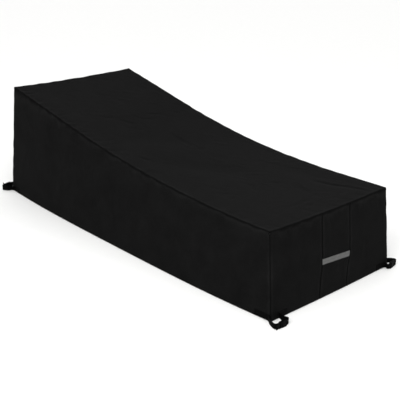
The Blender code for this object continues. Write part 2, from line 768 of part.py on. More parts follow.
def main():
    """Build the whole cover."""
    clear_scene()
    cloth = make_material("coated_black_cloth", (0.012, 0.012, 0.013), 0.72)
    band = make_material("grey_band_webbing", (0.16, 0.16, 0.16), 0.60)
    webbing = make_material("black_strap_webbing", (0.008, 0.008, 0.009), 0.80)
    plastic = make_material("black_buckle_plastic", (0.010, 0.010, 0.010), 0.38)
    build_top(cloth)
    build_side("near", cloth)
    build_side("far", cloth)
    build_ends(cloth)
    build_band(band)
    for corner in CORNERS:
        build_corner(corner, webbing, plastic)


if __name__ == "__main__":
    main()
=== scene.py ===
"""Fitted cover for a garden lounge chair: coated cloth, seams, webbing and buckles.

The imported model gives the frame. Each cut piece of cloth is a fine sheet laid
on its own wall of the cover, with soft folds, creases and puckered seams. The
cover is hollow and open underneath. Sizes are in metres. +X runs from the head
end to the foot end, +Y from the near side to the far side and +Z up.
"""

import logging
import math
from dataclasses import dataclass
from enum import Enum
from typing import Callable, Sequence

import bmesh
import bpy
import numpy as np
from mathutils import Matrix, Vector


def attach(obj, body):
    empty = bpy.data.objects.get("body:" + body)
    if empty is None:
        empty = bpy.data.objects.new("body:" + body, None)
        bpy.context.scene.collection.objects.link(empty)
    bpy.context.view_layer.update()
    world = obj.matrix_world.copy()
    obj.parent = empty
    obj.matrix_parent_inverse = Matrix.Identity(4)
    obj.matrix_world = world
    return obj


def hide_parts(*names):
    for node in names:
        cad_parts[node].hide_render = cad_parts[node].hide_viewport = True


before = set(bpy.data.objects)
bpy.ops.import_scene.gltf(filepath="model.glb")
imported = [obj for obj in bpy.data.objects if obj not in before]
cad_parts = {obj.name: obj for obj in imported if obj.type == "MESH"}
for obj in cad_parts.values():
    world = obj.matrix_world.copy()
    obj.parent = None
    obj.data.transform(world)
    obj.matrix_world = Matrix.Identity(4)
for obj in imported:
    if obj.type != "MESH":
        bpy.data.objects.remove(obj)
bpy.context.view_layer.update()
LOG = logging.getLogger("cover")

Array = np.ndarray
Value = float | Array | Vector
BODY = "root"
HEM_LIFT = 0.003                # the hem hangs this far above the ground
NUDGE = 1e-4                    # step, as a share of a wall, for measuring its slope
FAR_OFF = 0.08                  # distances from an edge are not told apart past this


class Wall(Enum):
    """The five walls of the cover."""

    TOP = "top"
    NEAR = "near"
    FAR = "far"
    HEAD = "head"
    FOOT = "foot"


class Rim(Enum):
    """The four edges of a cut piece of cloth."""

    START = "start"
    FINISH = "finish"
    UPPER = "upper"
    LOWER = "lower"


OUT = {Wall.TOP: (0, 0, 1), Wall.NEAR: (0, -1, 0), Wall.FAR: (0, 1, 0),
       Wall.HEAD: (-1, 0, 0), Wall.FOOT: (1, 0, 0)}


# ---- shared helpers --------------------------------------------------------
def unit(vectors: Array) -> Array:
    """Vectors made one long."""
    return vectors / np.linalg.norm(vectors, axis=-1, keepdims=True)


def mix(first: Value, second: Value, share: Array | float) -> Value:
    """Blend of two numbers, arrays or vectors."""
    return first * (1.0 - share) + second * share


def linear(colour: str) -> tuple[float, float, float, float]:
    """Linear colour of an sRGB hex value.

    Args:
        colour: six hex digits after a hash sign.

    Returns:
        Red, green, blue and an alpha of one.
    """
    values = [int(colour[place:place + 2], 16) / 255.0 for place in (1, 3, 5)]
    red, green, blue = [value / 12.92 if value <= 0.04045 else ((value + 0.055) / 1.055) ** 2.4
                        for value in values]
    return red, green, blue, 1.0


def fill(tree: bpy.types.NodeTree, node: bpy.types.Node, inputs: dict) -> None:
    """Give a node its values and its links.

    Args:
        tree: its node tree.
        node: the node.
        inputs: socket name or number to a value, or to an output socket to link.
    """
    for name, value in inputs.items():
        if isinstance(value, bpy.types.NodeSocket):
            tree.links.new(value, node.inputs[name])
        else:
            node.inputs[name].default_value = value


def add_node(tree: bpy.types.NodeTree, kind: str, inputs: dict | None = None,
             **settings) -> bpy.types.Node:
    """Add a shader node with its settings, values and links.

    Args:
        tree: node tree that gets the node.
        kind: Blender's name for the node.
        inputs: its values and links, as in fill.
        settings: the node's own properties.

    Returns:
        The new node.
    """
    node = tree.nodes.new(kind)
    for name, value in settings.items():
        setattr(node, name, value)
    fill(tree, node, inputs or {})
    return node


def spread(lengths: Array, lead: Sequence[float], tail: Sequence[float], pitch: float) -> Array:
    """Distances of grid lines: set near both edges and even between them.

    Args:
        lengths: the length to divide on each line of the grid.
        lead: distances from the start, rising.
        tail: distances from the end, rising.
        pitch: about how far apart the even lines are.

    Returns:
        One row of distances for each length.
    """
    count = max(2, round((lengths.max() - lead[-1] - tail[-1]) / pitch))
    share = np.linspace(0.0, 1.0, count + 1)
    wide = lengths[:, None]
    middle = mix(lead[-1], wide - tail[-1], share)
    return np.hstack([np.tile(lead[:-1], (len(lengths), 1)), middle,
                      wide - np.array(tail[::-1][1:])])


def mesh_of(name: str, bm: bmesh.types.BMesh) -> bpy.types.Mesh:
    """Mesh of a finished bmesh, which is freed.

    Args:
        name: name of the mesh.
        bm: the shape.

    Returns:
        The new mesh.
    """
    mesh = bpy.data.meshes.new(name)
    bm.to_mesh(mesh)
    bm.free()
    return mesh


def grid_mesh(name: str, columns: int, rows: int) -> tuple[bpy.types.Mesh, Array, Array]:
    """Flat grid of faces, to be laid on its surface.

    Args:
        name: name of the mesh.
        columns: faces along the first axis.
        rows: faces along the second.

    Returns:
        The mesh, and where its corners are on each axis, from 0 to 1.
    """
    bm = bmesh.new()
    bmesh.ops.create_grid(bm, x_segments=columns, y_segments=rows, size=0.5)
    mesh = mesh_of(name, bm)
    flat = np.empty(3 * len(mesh.vertices))
    mesh.vertices.foreach_get("co", flat)
    flat = flat.reshape(-1, 3)
    return mesh, flat[:, 0] + 0.5, flat[:, 1] + 0.5


def add_weave_map(mesh: bpy.types.Mesh, first: Array, second: Array) -> None:
    """Give a sheet its weave's map, in metres.

    Args:
        mesh: the sheet.
        first: distances along the cloth at the mesh's corners.
        second: distances across it.
    """
    corner = np.empty(len(mesh.loops), dtype=np.int32)
    mesh.loops.foreach_get("vertex_index", corner)
    layer = mesh.uv_layers.new(name="weave")
    spots = np.stack([first[corner], second[corner]], axis=-1)
    layer.data.foreach_set("uv", spots.astype(np.float32).ravel())


def add_distances(mesh: bpy.types.Mesh, name: str, distances: Array) -> None:
    """Give a sheet an attribute with a distance at each of its corners."""
    layer = mesh.attributes.new(name, "FLOAT", "POINT")
    layer.data.foreach_set("value", distances.astype(np.float32))


def outward_mesh(mesh: bpy.types.Mesh, outside: Sequence[float]) -> None:
    """Turn a sheet's faces to the side that the outside direction gives.

    Args:
        mesh: the sheet.
        outside: direction that the sheet's faces should have on the whole.
    """
    normals = np.empty(3 * len(mesh.polygons))
    mesh.polygons.foreach_get("normal", normals)
    if normals.reshape(-1, 3).mean(axis=0) @ np.asarray(outside, float) < 0.0:
        mesh.flip_normals()


def add_piece(name: str, mesh: bpy.types.Mesh, material: bpy.types.Material,
              nodes: Sequence[str] = ()) -> bpy.types.Object:
    """Make a piece of the object that rides on the cover.

    Args:
        name: name of the piece.
        mesh: its mesh, in place.
        material: its finish.
        nodes: CAD nodes that the piece stands for.

    Returns:
        The new object.
    """
    mesh.materials.append(material)
    mesh.shade_smooth()
    piece = link(name, mesh)
    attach(piece, BODY)
    if nodes:
        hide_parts(*nodes)
    LOG.info("%s: %d faces", name, len(mesh.polygons))
    return piece


def link(name: str, data: bpy.types.ID) -> bpy.types.Object:
    """Put an object in the scene.

    Args:
        name: its name.
        data: its mesh, light or camera.

    Returns:
        The object.
    """
    made = bpy.data.objects.new(name, data)
    bpy.context.scene.collection.objects.link(made)
    return made


def thicken(piece: bpy.types.Object, thick: float, offset: float) -> None:
    """Give a sheet its thickness."""
    wall = piece.modifiers.new("cloth", "SOLIDIFY")
    wall.thickness, wall.offset = thick, offset


def round_edges(piece: bpy.types.Object, width: float, angle: float) -> None:
    """Round a piece's sharp edges.

    Args:
        piece: the piece.
        width: width of the rounding.
        angle: edges that turn by more degrees than this are rounded.
    """
    edge = piece.modifiers.new("rounding", "BEVEL")
    edge.width, edge.segments, edge.limit_method = width, 2, "ANGLE"
    edge.angle_limit = math.radians(angle)


# ---- the cover's shape -----------------------------------------------------
@dataclass(frozen=True)
class TopEdge:
    """Long edge of the top: a straight slope, an arc and a nearly level run."""

    head_height: float
    fall: float
    slope_run: float
    radius: float
    foot_rise: float

    def height(self, run: Array) -> Array:
        """Height of the edge at distances from the head end.

        Args:
            run: distances from the head end.

        Returns:
            Heights above the ground.
        """
        foot_angle = math.atan(self.foot_rise)
        slope_angle = math.atan(self.fall)
        arc_x = self.slope_run + self.radius * math.sin(slope_angle)
        arc_z = self.head_height - self.fall * self.slope_run + self.radius * math.cos(slope_angle)
        arc_end = arc_x + self.radius * math.sin(foot_angle)
        slope = self.head_height - self.fall * run
        arc = arc_z - np.sqrt(np.maximum(0.0, self.radius ** 2 - (run - arc_x) ** 2))
        level = arc_z - self.radius * math.cos(foot_angle) + self.foot_rise * (run - arc_end)
        return HEM_LIFT + np.where(run <= self.slope_run, slope,
                                   np.where(run <= arc_end, arc, level))


@dataclass(frozen=True)
class Fold:
    """Soft fold on a flat piece of cloth: a trough, or a ridge where depth is negative.

    A fold may bend, and a sharp one has a ridge along one side.
    """

    along: float
    down: float
    turn: float
    half_length: float
    half_width: float
    depth: float
    bend: float = 0.0
    ridge: float = 0.0
    ridge_aside: float = 1.7        # how many half widths away the ridge runs

    def depth_at(self, along: Array, down: Array) -> Array:
        """Depth of the fold at points of the flat cloth.

        Args:
            along: distances along the cloth.
            down: distances down it.

        Returns:
            Depths, positive inwards.
        """
        turn = math.radians(self.turn)
        step_x, step_y = along - self.along, down - self.down
        ahead = (step_x * math.cos(turn) + step_y * math.sin(turn)) / self.half_length
        aside = (step_y * math.cos(turn) - step_x * math.sin(turn)) / self.half_width
        aside = aside - self.bend * ahead ** 2
        shape = np.exp(-aside ** 2)
        if self.ridge:
            shape = shape - self.ridge * np.exp(-(aside - self.ridge_aside) ** 2)
        return self.depth * np.exp(-ahead ** 4) * shape


# Broad folds of the cover itself, on each wall measured from its head (or near)
# top corner: along, down, turn, half length, half width, depth. They lie where
# the solids' folds do, and some are shallower, as a well stretched cover's are.
WALL_FOLDS = {
    Wall.TOP: [
        Fold(1.62, 0.68, 9.0, 0.20, 0.055, 0.0022),
        Fold(0.86, 0.36, 64.0, 0.22, 0.070, 0.0035),
        Fold(1.22, 0.30, 40.0, 0.24, 0.080, 0.0040),
        Fold(0.42, 0.50, -58.0, 0.20, 0.075, -0.0030),
    ],
    Wall.NEAR: [
        Fold(0.44, 0.30, 86.0, 0.22, 0.060, 0.0019),
        Fold(0.60, 0.27, 95.0, 0.20, 0.060, -0.0018),
        Fold(0.98, 0.24, 88.0, 0.18, 0.075, 0.0020),
        Fold(1.42, 0.22, 92.0, 0.16, 0.065, -0.0022),
        Fold(0.16, 0.22, 8.0, 0.12, 0.045, 0.0030),
    ],
    Wall.FAR: [
        Fold(0.36, 0.31, 92.0, 0.22, 0.060, 0.0045),
        Fold(0.78, 0.26, 85.0, 0.20, 0.065, -0.0045),
        Fold(1.18, 0.22, 94.0, 0.17, 0.070, 0.0040),
        Fold(1.60, 0.20, 88.0, 0.15, 0.060, -0.0030),
    ],
    Wall.HEAD: [
        Fold(0.24, 0.34, 80.0, 0.24, 0.060, 0.0040),
        Fold(0.56, 0.30, 97.0, 0.24, 0.070, -0.0035),
    ],
    Wall.FOOT: [],
}

# Creases listed for each wall, in the same measures, with bend and ridge.
CREASES = {
    Wall.TOP: [
        Fold(1.735, 0.654, 21.0, 0.080, 0.013, 0.0026, 0.6, 0.4),
        Fold(1.845, 0.700, 13.0, 0.045, 0.011, 0.0022, -0.5, 0.4),
        Fold(0.905, 0.456, 3.0, 0.110, 0.014, 0.0017, 0.4, 0.4),
        Fold(0.600, 0.325, 30.0, 0.040, 0.012, 0.0016, 0.6, 0.4),
        Fold(0.566, 0.530, 68.0, 0.045, 0.010, 0.0014, 0.4, 0.4),
        Fold(0.607, 0.466, 66.0, 0.030, 0.010, 0.0014, -0.4, 0.4),
        Fold(0.660, 0.380, -20.0, 0.035, 0.012, 0.0013, 0.6, 0.4),
        Fold(1.002, 0.111, 20.0, 0.030, 0.012, 0.0018, 0.5, 0.4),
        Fold(0.520, 0.268, 74.0, 0.035, 0.012, 0.0013, 0.6, 0.4),
        Fold(0.180, 0.160, -40.0, 0.040, 0.013, 0.0014, 0.5, 0.4),
        Fold(1.270, 0.420, 52.0, 0.050, 0.014, 0.0010, 0.7, 0.3),
        Fold(1.520, 0.330, -24.0, 0.045, 0.013, 0.0010, 0.5, 0.3),
    ],
    Wall.NEAR: [
        Fold(0.395, 0.125, -23.0, 0.050, 0.007, 0.0011, 0.3, 0.5),
        Fold(0.375, 0.185, -23.0, 0.065, 0.007, 0.0011, -0.3, 0.5),
        Fold(0.420, 0.198, -24.0, 0.055, 0.007, 0.0011, 0.3, 0.5),
        Fold(0.430, 0.222, -25.0, 0.050, 0.007, 0.0009, -0.3, 0.5),
        Fold(0.424, 0.384, -26.0, 0.028, 0.008, 0.0013, 0.4, 0.5),
        Fold(0.669, 0.180, 55.0, 0.018, 0.012, 0.0018, 0.0, 0.4),
        Fold(0.936, 0.306, 85.0, 0.045, 0.012, -0.0016, 0.4, 0.3),
        Fold(0.520, 0.340, 88.0, 0.120, 0.022, 0.0010, 0.5, 0.3),
        Fold(0.780, 0.300, 94.0, 0.110, 0.020, 0.0009, -0.5, 0.3),
        Fold(1.120, 0.260, 92.0, 0.100, 0.020, 0.0009, 0.5, 0.3),
        Fold(1.560, 0.230, 93.0, 0.090, 0.020, 0.0008, 0.5, 0.3),
    ],
    Wall.FAR: [
        Fold(0.280, 0.330, 88.0, 0.120, 0.020, 0.0012, 0.5, 0.4),
        Fold(0.580, 0.300, 95.0, 0.110, 0.020, 0.0012, -0.5, 0.4),
        Fold(0.970, 0.260, 86.0, 0.100, 0.018, 0.0011, 0.5, 0.4),
        Fold(1.380, 0.230, 93.0, 0.090, 0.018, 0.0010, -0.4, 0.4),
        Fold(1.720, 0.210, 70.0, 0.050, 0.014, 0.0014, 0.5, 0.4),
        Fold(0.440, 0.150, -20.0, 0.050, 0.010, 0.0012, 0.4, 0.5),
    ],
    Wall.HEAD: [
        Fold(0.160, 0.300, 84.0, 0.130, 0.018, 0.0013, 0.5, 0.4),
        Fold(0.400, 0.360, 96.0, 0.110, 0.018, 0.0012, -0.5, 0.4),
        Fold(0.660, 0.280, 88.0, 0.120, 0.018, 0.0013, 0.5, 0.4),
        Fold(0.300, 0.120, 25.0, 0.050, 0.012, 0.0014, 0.5, 0.4),
    ],
    Wall.FOOT: [
        Fold(0.393, 0.062, 80.0, 0.030, 0.011, 0.0020, 0.4, 0.4),
        Fold(0.476, 0.292, 88.0, 0.034, 0.008, -0.0017, 0.3, 0.4),
        Fold(0.445, 0.280, 95.0, 0.030, 0.009, 0.0013, 0.3, 0.4),
        Fold(0.752, 0.050, 86.0, 0.032, 0.010, 0.0026, 0.4, 0.4),
        Fold(0.065, 0.262, -8.0, 0.035, 0.008, 0.0012, 0.5, 0.5),
        Fold(0.120, 0.285, 6.0, 0.040, 0.008, 0.0011, -0.5, 0.5),
        Fold(0.640, 0.230, 84.0, 0.060, 0.016, 0.0009, 0.5, 0.3),
    ],
}

# Small wrinkles scattered by chance on each wall: how many, their usual turn and depth.
SMALL_WRINKLES = {Wall.TOP: (260, 35.0, 0.00065), Wall.NEAR: (180, 80.0, 0.00042),
                  Wall.FAR: (180, 92.0, 0.00042), Wall.HEAD: (80, 88.0, 0.00050),
                  Wall.FOOT: (60, 84.0, 0.00050)}
WRINKLE_SEED = 100
WRINKLE_TURNS = 32.0            # spread of their turns about the usual one
WRINKLE_LENGTHS = (0.02, 0.07)  # least and most half length
WRINKLE_WIDTHS = (0.007, 0.016)
WRINKLE_DEPTHS = 0.75           # spread of their depths, as a share of the usual one
WRINKLE_BENDS = (-0.6, 0.6)
WRINKLE_RIDGE = 0.4


def fold_sum(folds: Sequence[Fold], along: Array, down: Array) -> Array:
    """Total depth of several folds.

    Args:
        folds: the folds.
        along: distances along the flat cloth.
        down: distances down it.

    Returns:
        Depths, positive inwards.
    """
    total = np.zeros_like(along)
    for fold in folds:
        total += fold.depth_at(along, down)
    return total


@dataclass(frozen=True)
class CoverShape:
    """Outer surface of the cover, wall by wall, before its fine creases."""

    hem_length: float = 2.010
    top_width: float = 0.810
    head_flare: float = 0.030
    foot_flare: float = 0.050
    head_corner_flare: float = 0.028
    foot_corner_flare: float = 0.014
    side_bow: float = 0.032
    side_bow_power: float = 3.1
    end_bow: float = 0.005
    top_sag: float = 0.007
    seam_fade: float = 0.06
    near_edge: TopEdge = TopEdge(0.608, 0.190, 0.60, 6.40, 0.050)
    far_edge: TopEdge = TopEdge(0.616, 0.216, 0.57, 4.80, 0.009)

    @property
    def top_length(self) -> float:
        """Length of the top between its end seams."""
        return self.hem_length - self.head_flare - self.foot_flare

    def folds(self, wall: Wall, along: Array, down: Array, length: float,
              depth: Array | float) -> Array:
        """Depth of a wall's broad folds, fading out towards its seams.

        Args:
            wall: the wall.
            along: distances along it.
            down: distances down it.
            length: the wall's length.
            depth: its depth.

        Returns:
            Depths, positive inwards.
        """
        margin = np.minimum(np.minimum(along, length - along), np.minimum(down, depth - down))
        fade = np.clip(margin / self.seam_fade, 0.0, 1.0)
        return fold_sum(WALL_FOLDS[wall], along, down) * fade

    def corner_flare(self, along: Array | float) -> Array | float:
        """How far a side leans out at the hem, without its bow."""
        return mix(self.head_corner_flare, self.foot_corner_flare, along)

    def top(self, along: Array, across: Array) -> Array:
        """Points of the top.

        Args:
            along: shares of its length, from head to foot.
            across: shares of its width, from near to far.

        Returns:
            One point for each pair of shares.
        """
        run = self.top_length * along
        height = mix(self.near_edge.height(run), self.far_edge.height(run), across)
        height = height - self.top_sag * (1.0 - (2.0 * across - 1.0) ** 2)
        height = height - self.folds(Wall.TOP, run, self.top_width * across,
                                     self.top_length, self.top_width)
        start = self.head_flare - 0.5 * self.hem_length
        return np.stack([start + run, self.top_width * (across - 0.5), height], axis=-1)

    def side(self, wall: Wall, along: Array, down: Array) -> Array:
        """Points of a long side.

        Args:
            wall: which side.
            along: shares of its length, from head to foot.
            down: shares of its depth, from the top to the hem.

        Returns:
            One point for each pair of shares.
        """
        sign = OUT[wall][1]
        top = self.top(along, np.full_like(along, 0.0 if sign < 0 else 1.0))
        bow = self.side_bow * (1.0 - np.abs(2.0 * along - 1.0) ** self.side_bow_power)
        out = 0.5 * self.top_width + self.corner_flare(along) + bow
        hem = np.stack([self.hem_length * (along - 0.5), sign * out,
                        np.full_like(along, HEM_LIFT)], axis=-1)
        place = mix(top, hem, down[:, None])
        height = top[:, 2] - HEM_LIFT
        place[:, 1] -= sign * self.folds(wall, self.top_length * along, height * down,
                                         self.top_length, height)
        return place

    def end(self, wall: Wall, across: Array, down: Array) -> Array:
        """Points of an end.

        Args:
            wall: which end.
            across: shares of its width, from near to far.
            down: shares of its depth, from the top to the hem.

        Returns:
            One point for each pair of shares.
        """
        sign = OUT[wall][0]
        along = 0.0 if sign < 0 else 1.0
        top = self.top(np.full_like(across, along), across)
        bow = self.end_bow * (1.0 - (2.0 * across - 1.0) ** 2)
        half = 0.5 * self.top_width + self.corner_flare(along)
        hem = np.stack([sign * (0.5 * self.hem_length + bow), half * (2.0 * across - 1.0),
                        np.full_like(across, HEM_LIFT)], axis=-1)
        place = mix(top, hem, down[:, None])
        height = top[:, 2] - HEM_LIFT
        place[:, 0] -= sign * self.folds(wall, self.top_width * across, height * down,
                                         self.top_width, height)
        return place

    def place(self, wall: Wall, first: Array, second: Array) -> Array:
        """Points of any wall.

        Args:
            wall: the wall.
            first: shares along or across it.
            second: shares across or down it.

        Returns:
            One point for each pair of shares.
        """
        if wall is Wall.TOP:
            return self.top(first, second)
        if wall in (Wall.NEAR, Wall.FAR):
            return self.side(wall, first, second)
        return self.end(wall, first, second)

    def normal(self, wall: Wall, first: Array, second: Array) -> Array:
        """Outward normals of any wall from its two shares.

        Args:
            wall: the wall.
            first: shares along or across it.
            second: shares across or down it.

        Returns:
            Unit vectors.
        """
        low_a, high_a = np.clip(first - NUDGE, 0, 1), np.clip(first + NUDGE, 0, 1)
        low_b, high_b = np.clip(second - NUDGE, 0, 1), np.clip(second + NUDGE, 0, 1)
        along = self.place(wall, high_a, second) - self.place(wall, low_a, second)
        down = self.place(wall, first, high_b) - self.place(wall, first, low_b)
        normals = unit(np.cross(along, down))
        facing = np.sign(normals @ np.array(OUT[wall], float))
        return normals * facing[:, None]

    def spot(self, wall: Wall, first: float, second: float) -> tuple[Vector, Vector]:
        """One point of a wall and its outward normal there."""
        shares = np.array([first]), np.array([second])
        return Vector(self.place(wall, *shares)[0]), Vector(self.normal(wall, *shares)[0])


SHAPE = CoverShape()


@dataclass(frozen=True)
class StripSeams:
    """The two seams of the foot end's middle strip, as shares across and down the end."""

    downs: tuple[float, ...] = (0.0, 0.60, 0.78, 1.0)
    nears: tuple[float, ...] = (0.411, 0.405, 0.386, 0.370)
    fars: tuple[float, ...] = (0.653, 0.644, 0.618, 0.601)

    def near(self, down: Array) -> Array:
        """Place of the near seam across the end."""
        return np.interp(down, self.downs, self.nears)

    def far(self, down: Array) -> Array:
        """Place of the far seam across the end."""
        return np.interp(down, self.downs, self.fars)


STRIP = StripSeams()


@dataclass(frozen=True)
class SeamWave:
    """Unevenness of a seam: it swings in and out by half its depth between its ends."""

    depth: float
    seed: int
    longest: float = 0.55
    terms: int = 9
    fade: float = 0.05
    ease: float = 0.0022            # an upright seam's painted shadow and pale band lie as if the cloth began this far off
    shorter: float = 0.75           # how quickly the waves get shorter
    sizes: tuple[float, float] = (0.5, 1.0)
    swing: float = 0.22

    def pull(self, place: Array, length: Array | float) -> Array:
        """How far the seam is pulled in at distances along it.

        Args:
            place: distances along the seam.
            length: the seam's length.

        Returns:
            Distances, positive inwards.
        """
        ends = np.clip(np.minimum(place, length - place) / self.fade, 0.0, 1.0)
        return self.depth * (self.share(place) - 0.5) * ends

    def share(self, place: Array) -> Array:
        """Unevenness of the seam.

        Args:
            place: distances along it.

        Returns:
            Values from 0 to 1.
        """
        chance = np.random.default_rng(self.seed)
        total = np.zeros_like(place)
        for term in range(self.terms):
            wave = self.longest / (1.0 + self.shorter * term)
            phase = chance.uniform(0.0, 2.0 * math.pi)
            total += chance.uniform(*self.sizes) * np.sin(2.0 * math.pi * place / wave + phase)
        return np.clip(0.5 + self.swing * total, 0.0, 1.0)


SEAM_WAVES = {
    "top_near": SeamWave(0.0035, 11),
    "top_far": SeamWave(0.0022, 12),
    "top_head": SeamWave(0.0025, 13),
    "top_foot": SeamWave(0.0012, 14),
    "head_near": SeamWave(0.0018, 15),
    "head_far": SeamWave(0.0018, 16),
    "foot_near": SeamWave(0.0014, 17),
    "foot_far": SeamWave(0.0018, 18),
    "strip_near": SeamWave(0.0012, 19, ease=0.0006),
    "strip_far": SeamWave(0.0012, 20, ease=0.0016),
}


@dataclass(frozen=True)
class Puckers:
    """Small dents that a sewn seam pulls into the cloth beside it."""

    seed: int
    apart: tuple[float, float]      # least and most distance between two of them
    depth: float
    reach: float                    # how far from the seam each is deepest
    half_width: float = 0.013
    strong_until: float = 10.0      # past this distance along the seam they weaken
    weak: float = 0.4
    sizes: tuple[float, float] = (0.45, 1.0)
    leans: tuple[float, float] = (-0.5, 0.5)
    widths: tuple[float, float] = (0.7, 1.4)
    reaches: tuple[float, float] = (0.7, 1.3)
    ridge: float = 0.45             # height of the ridge beside each, and how far aside
    ridge_aside: float = 1.6

    def depth_at(self, place: Array, distance: Array, length: float) -> Array:
        """Depth of the dents at points beside the seam.

        Args:
            place: distances along the seam.
            distance: distances from it.
            length: the seam's length.

        Returns:
            Depths, positive inwards.
        """
        chance = np.random.default_rng(self.seed)
        total = np.zeros_like(place)
        spot = chance.uniform(*self.apart)
        while spot < length - self.apart[0]:
            size = chance.uniform(*self.sizes) * (1.0 if spot < self.strong_until else self.weak)
            lean = chance.uniform(*self.leans)
            wide = self.half_width * chance.uniform(*self.widths)
            deep = self.reach * chance.uniform(*self.reaches)
            aside = (place - spot - lean * distance) / wide
            rise = distance / deep
            dent = np.exp(-aside ** 2) - self.ridge * np.exp(-(aside - self.ridge_aside) ** 2)
            total += size * dent * rise * np.exp(1.0 - rise)
            spot += chance.uniform(*self.apart)
        return self.depth * total


# ---- cut pieces of cloth ---------------------------------------------------
SEAM_LINES = (0.0, 0.0007, 0.0015, 0.0025, 0.0038, 0.0055, 0.0075, 0.010, 0.013, 0.017)
HEM_LINES = (0.0, 0.0010, 0.0025, 0.006, 0.012, 0.0175, 0.0205, 0.0220, 0.0235, 0.0265, 0.031)
FLAP_LINES = (0.0009, 0.0017, 0.0026, 0.0035, 0.010, 0.018, 0.025)
HEM_FOLD = 0.0011               # radius of the hem's fold
HEM_STITCH = 0.0220             # the hem's stitches are this far above its fold
HEM_WIDTH = 0.026
SEAM_STITCH = 0.0065            # top stitching is this far from a seam
ALLOWANCE = 0.012               # turned in at each seam
DROP_SAMPLES = 400              # places where a piece's depth and length are measured
SPAN_SAMPLES = 50


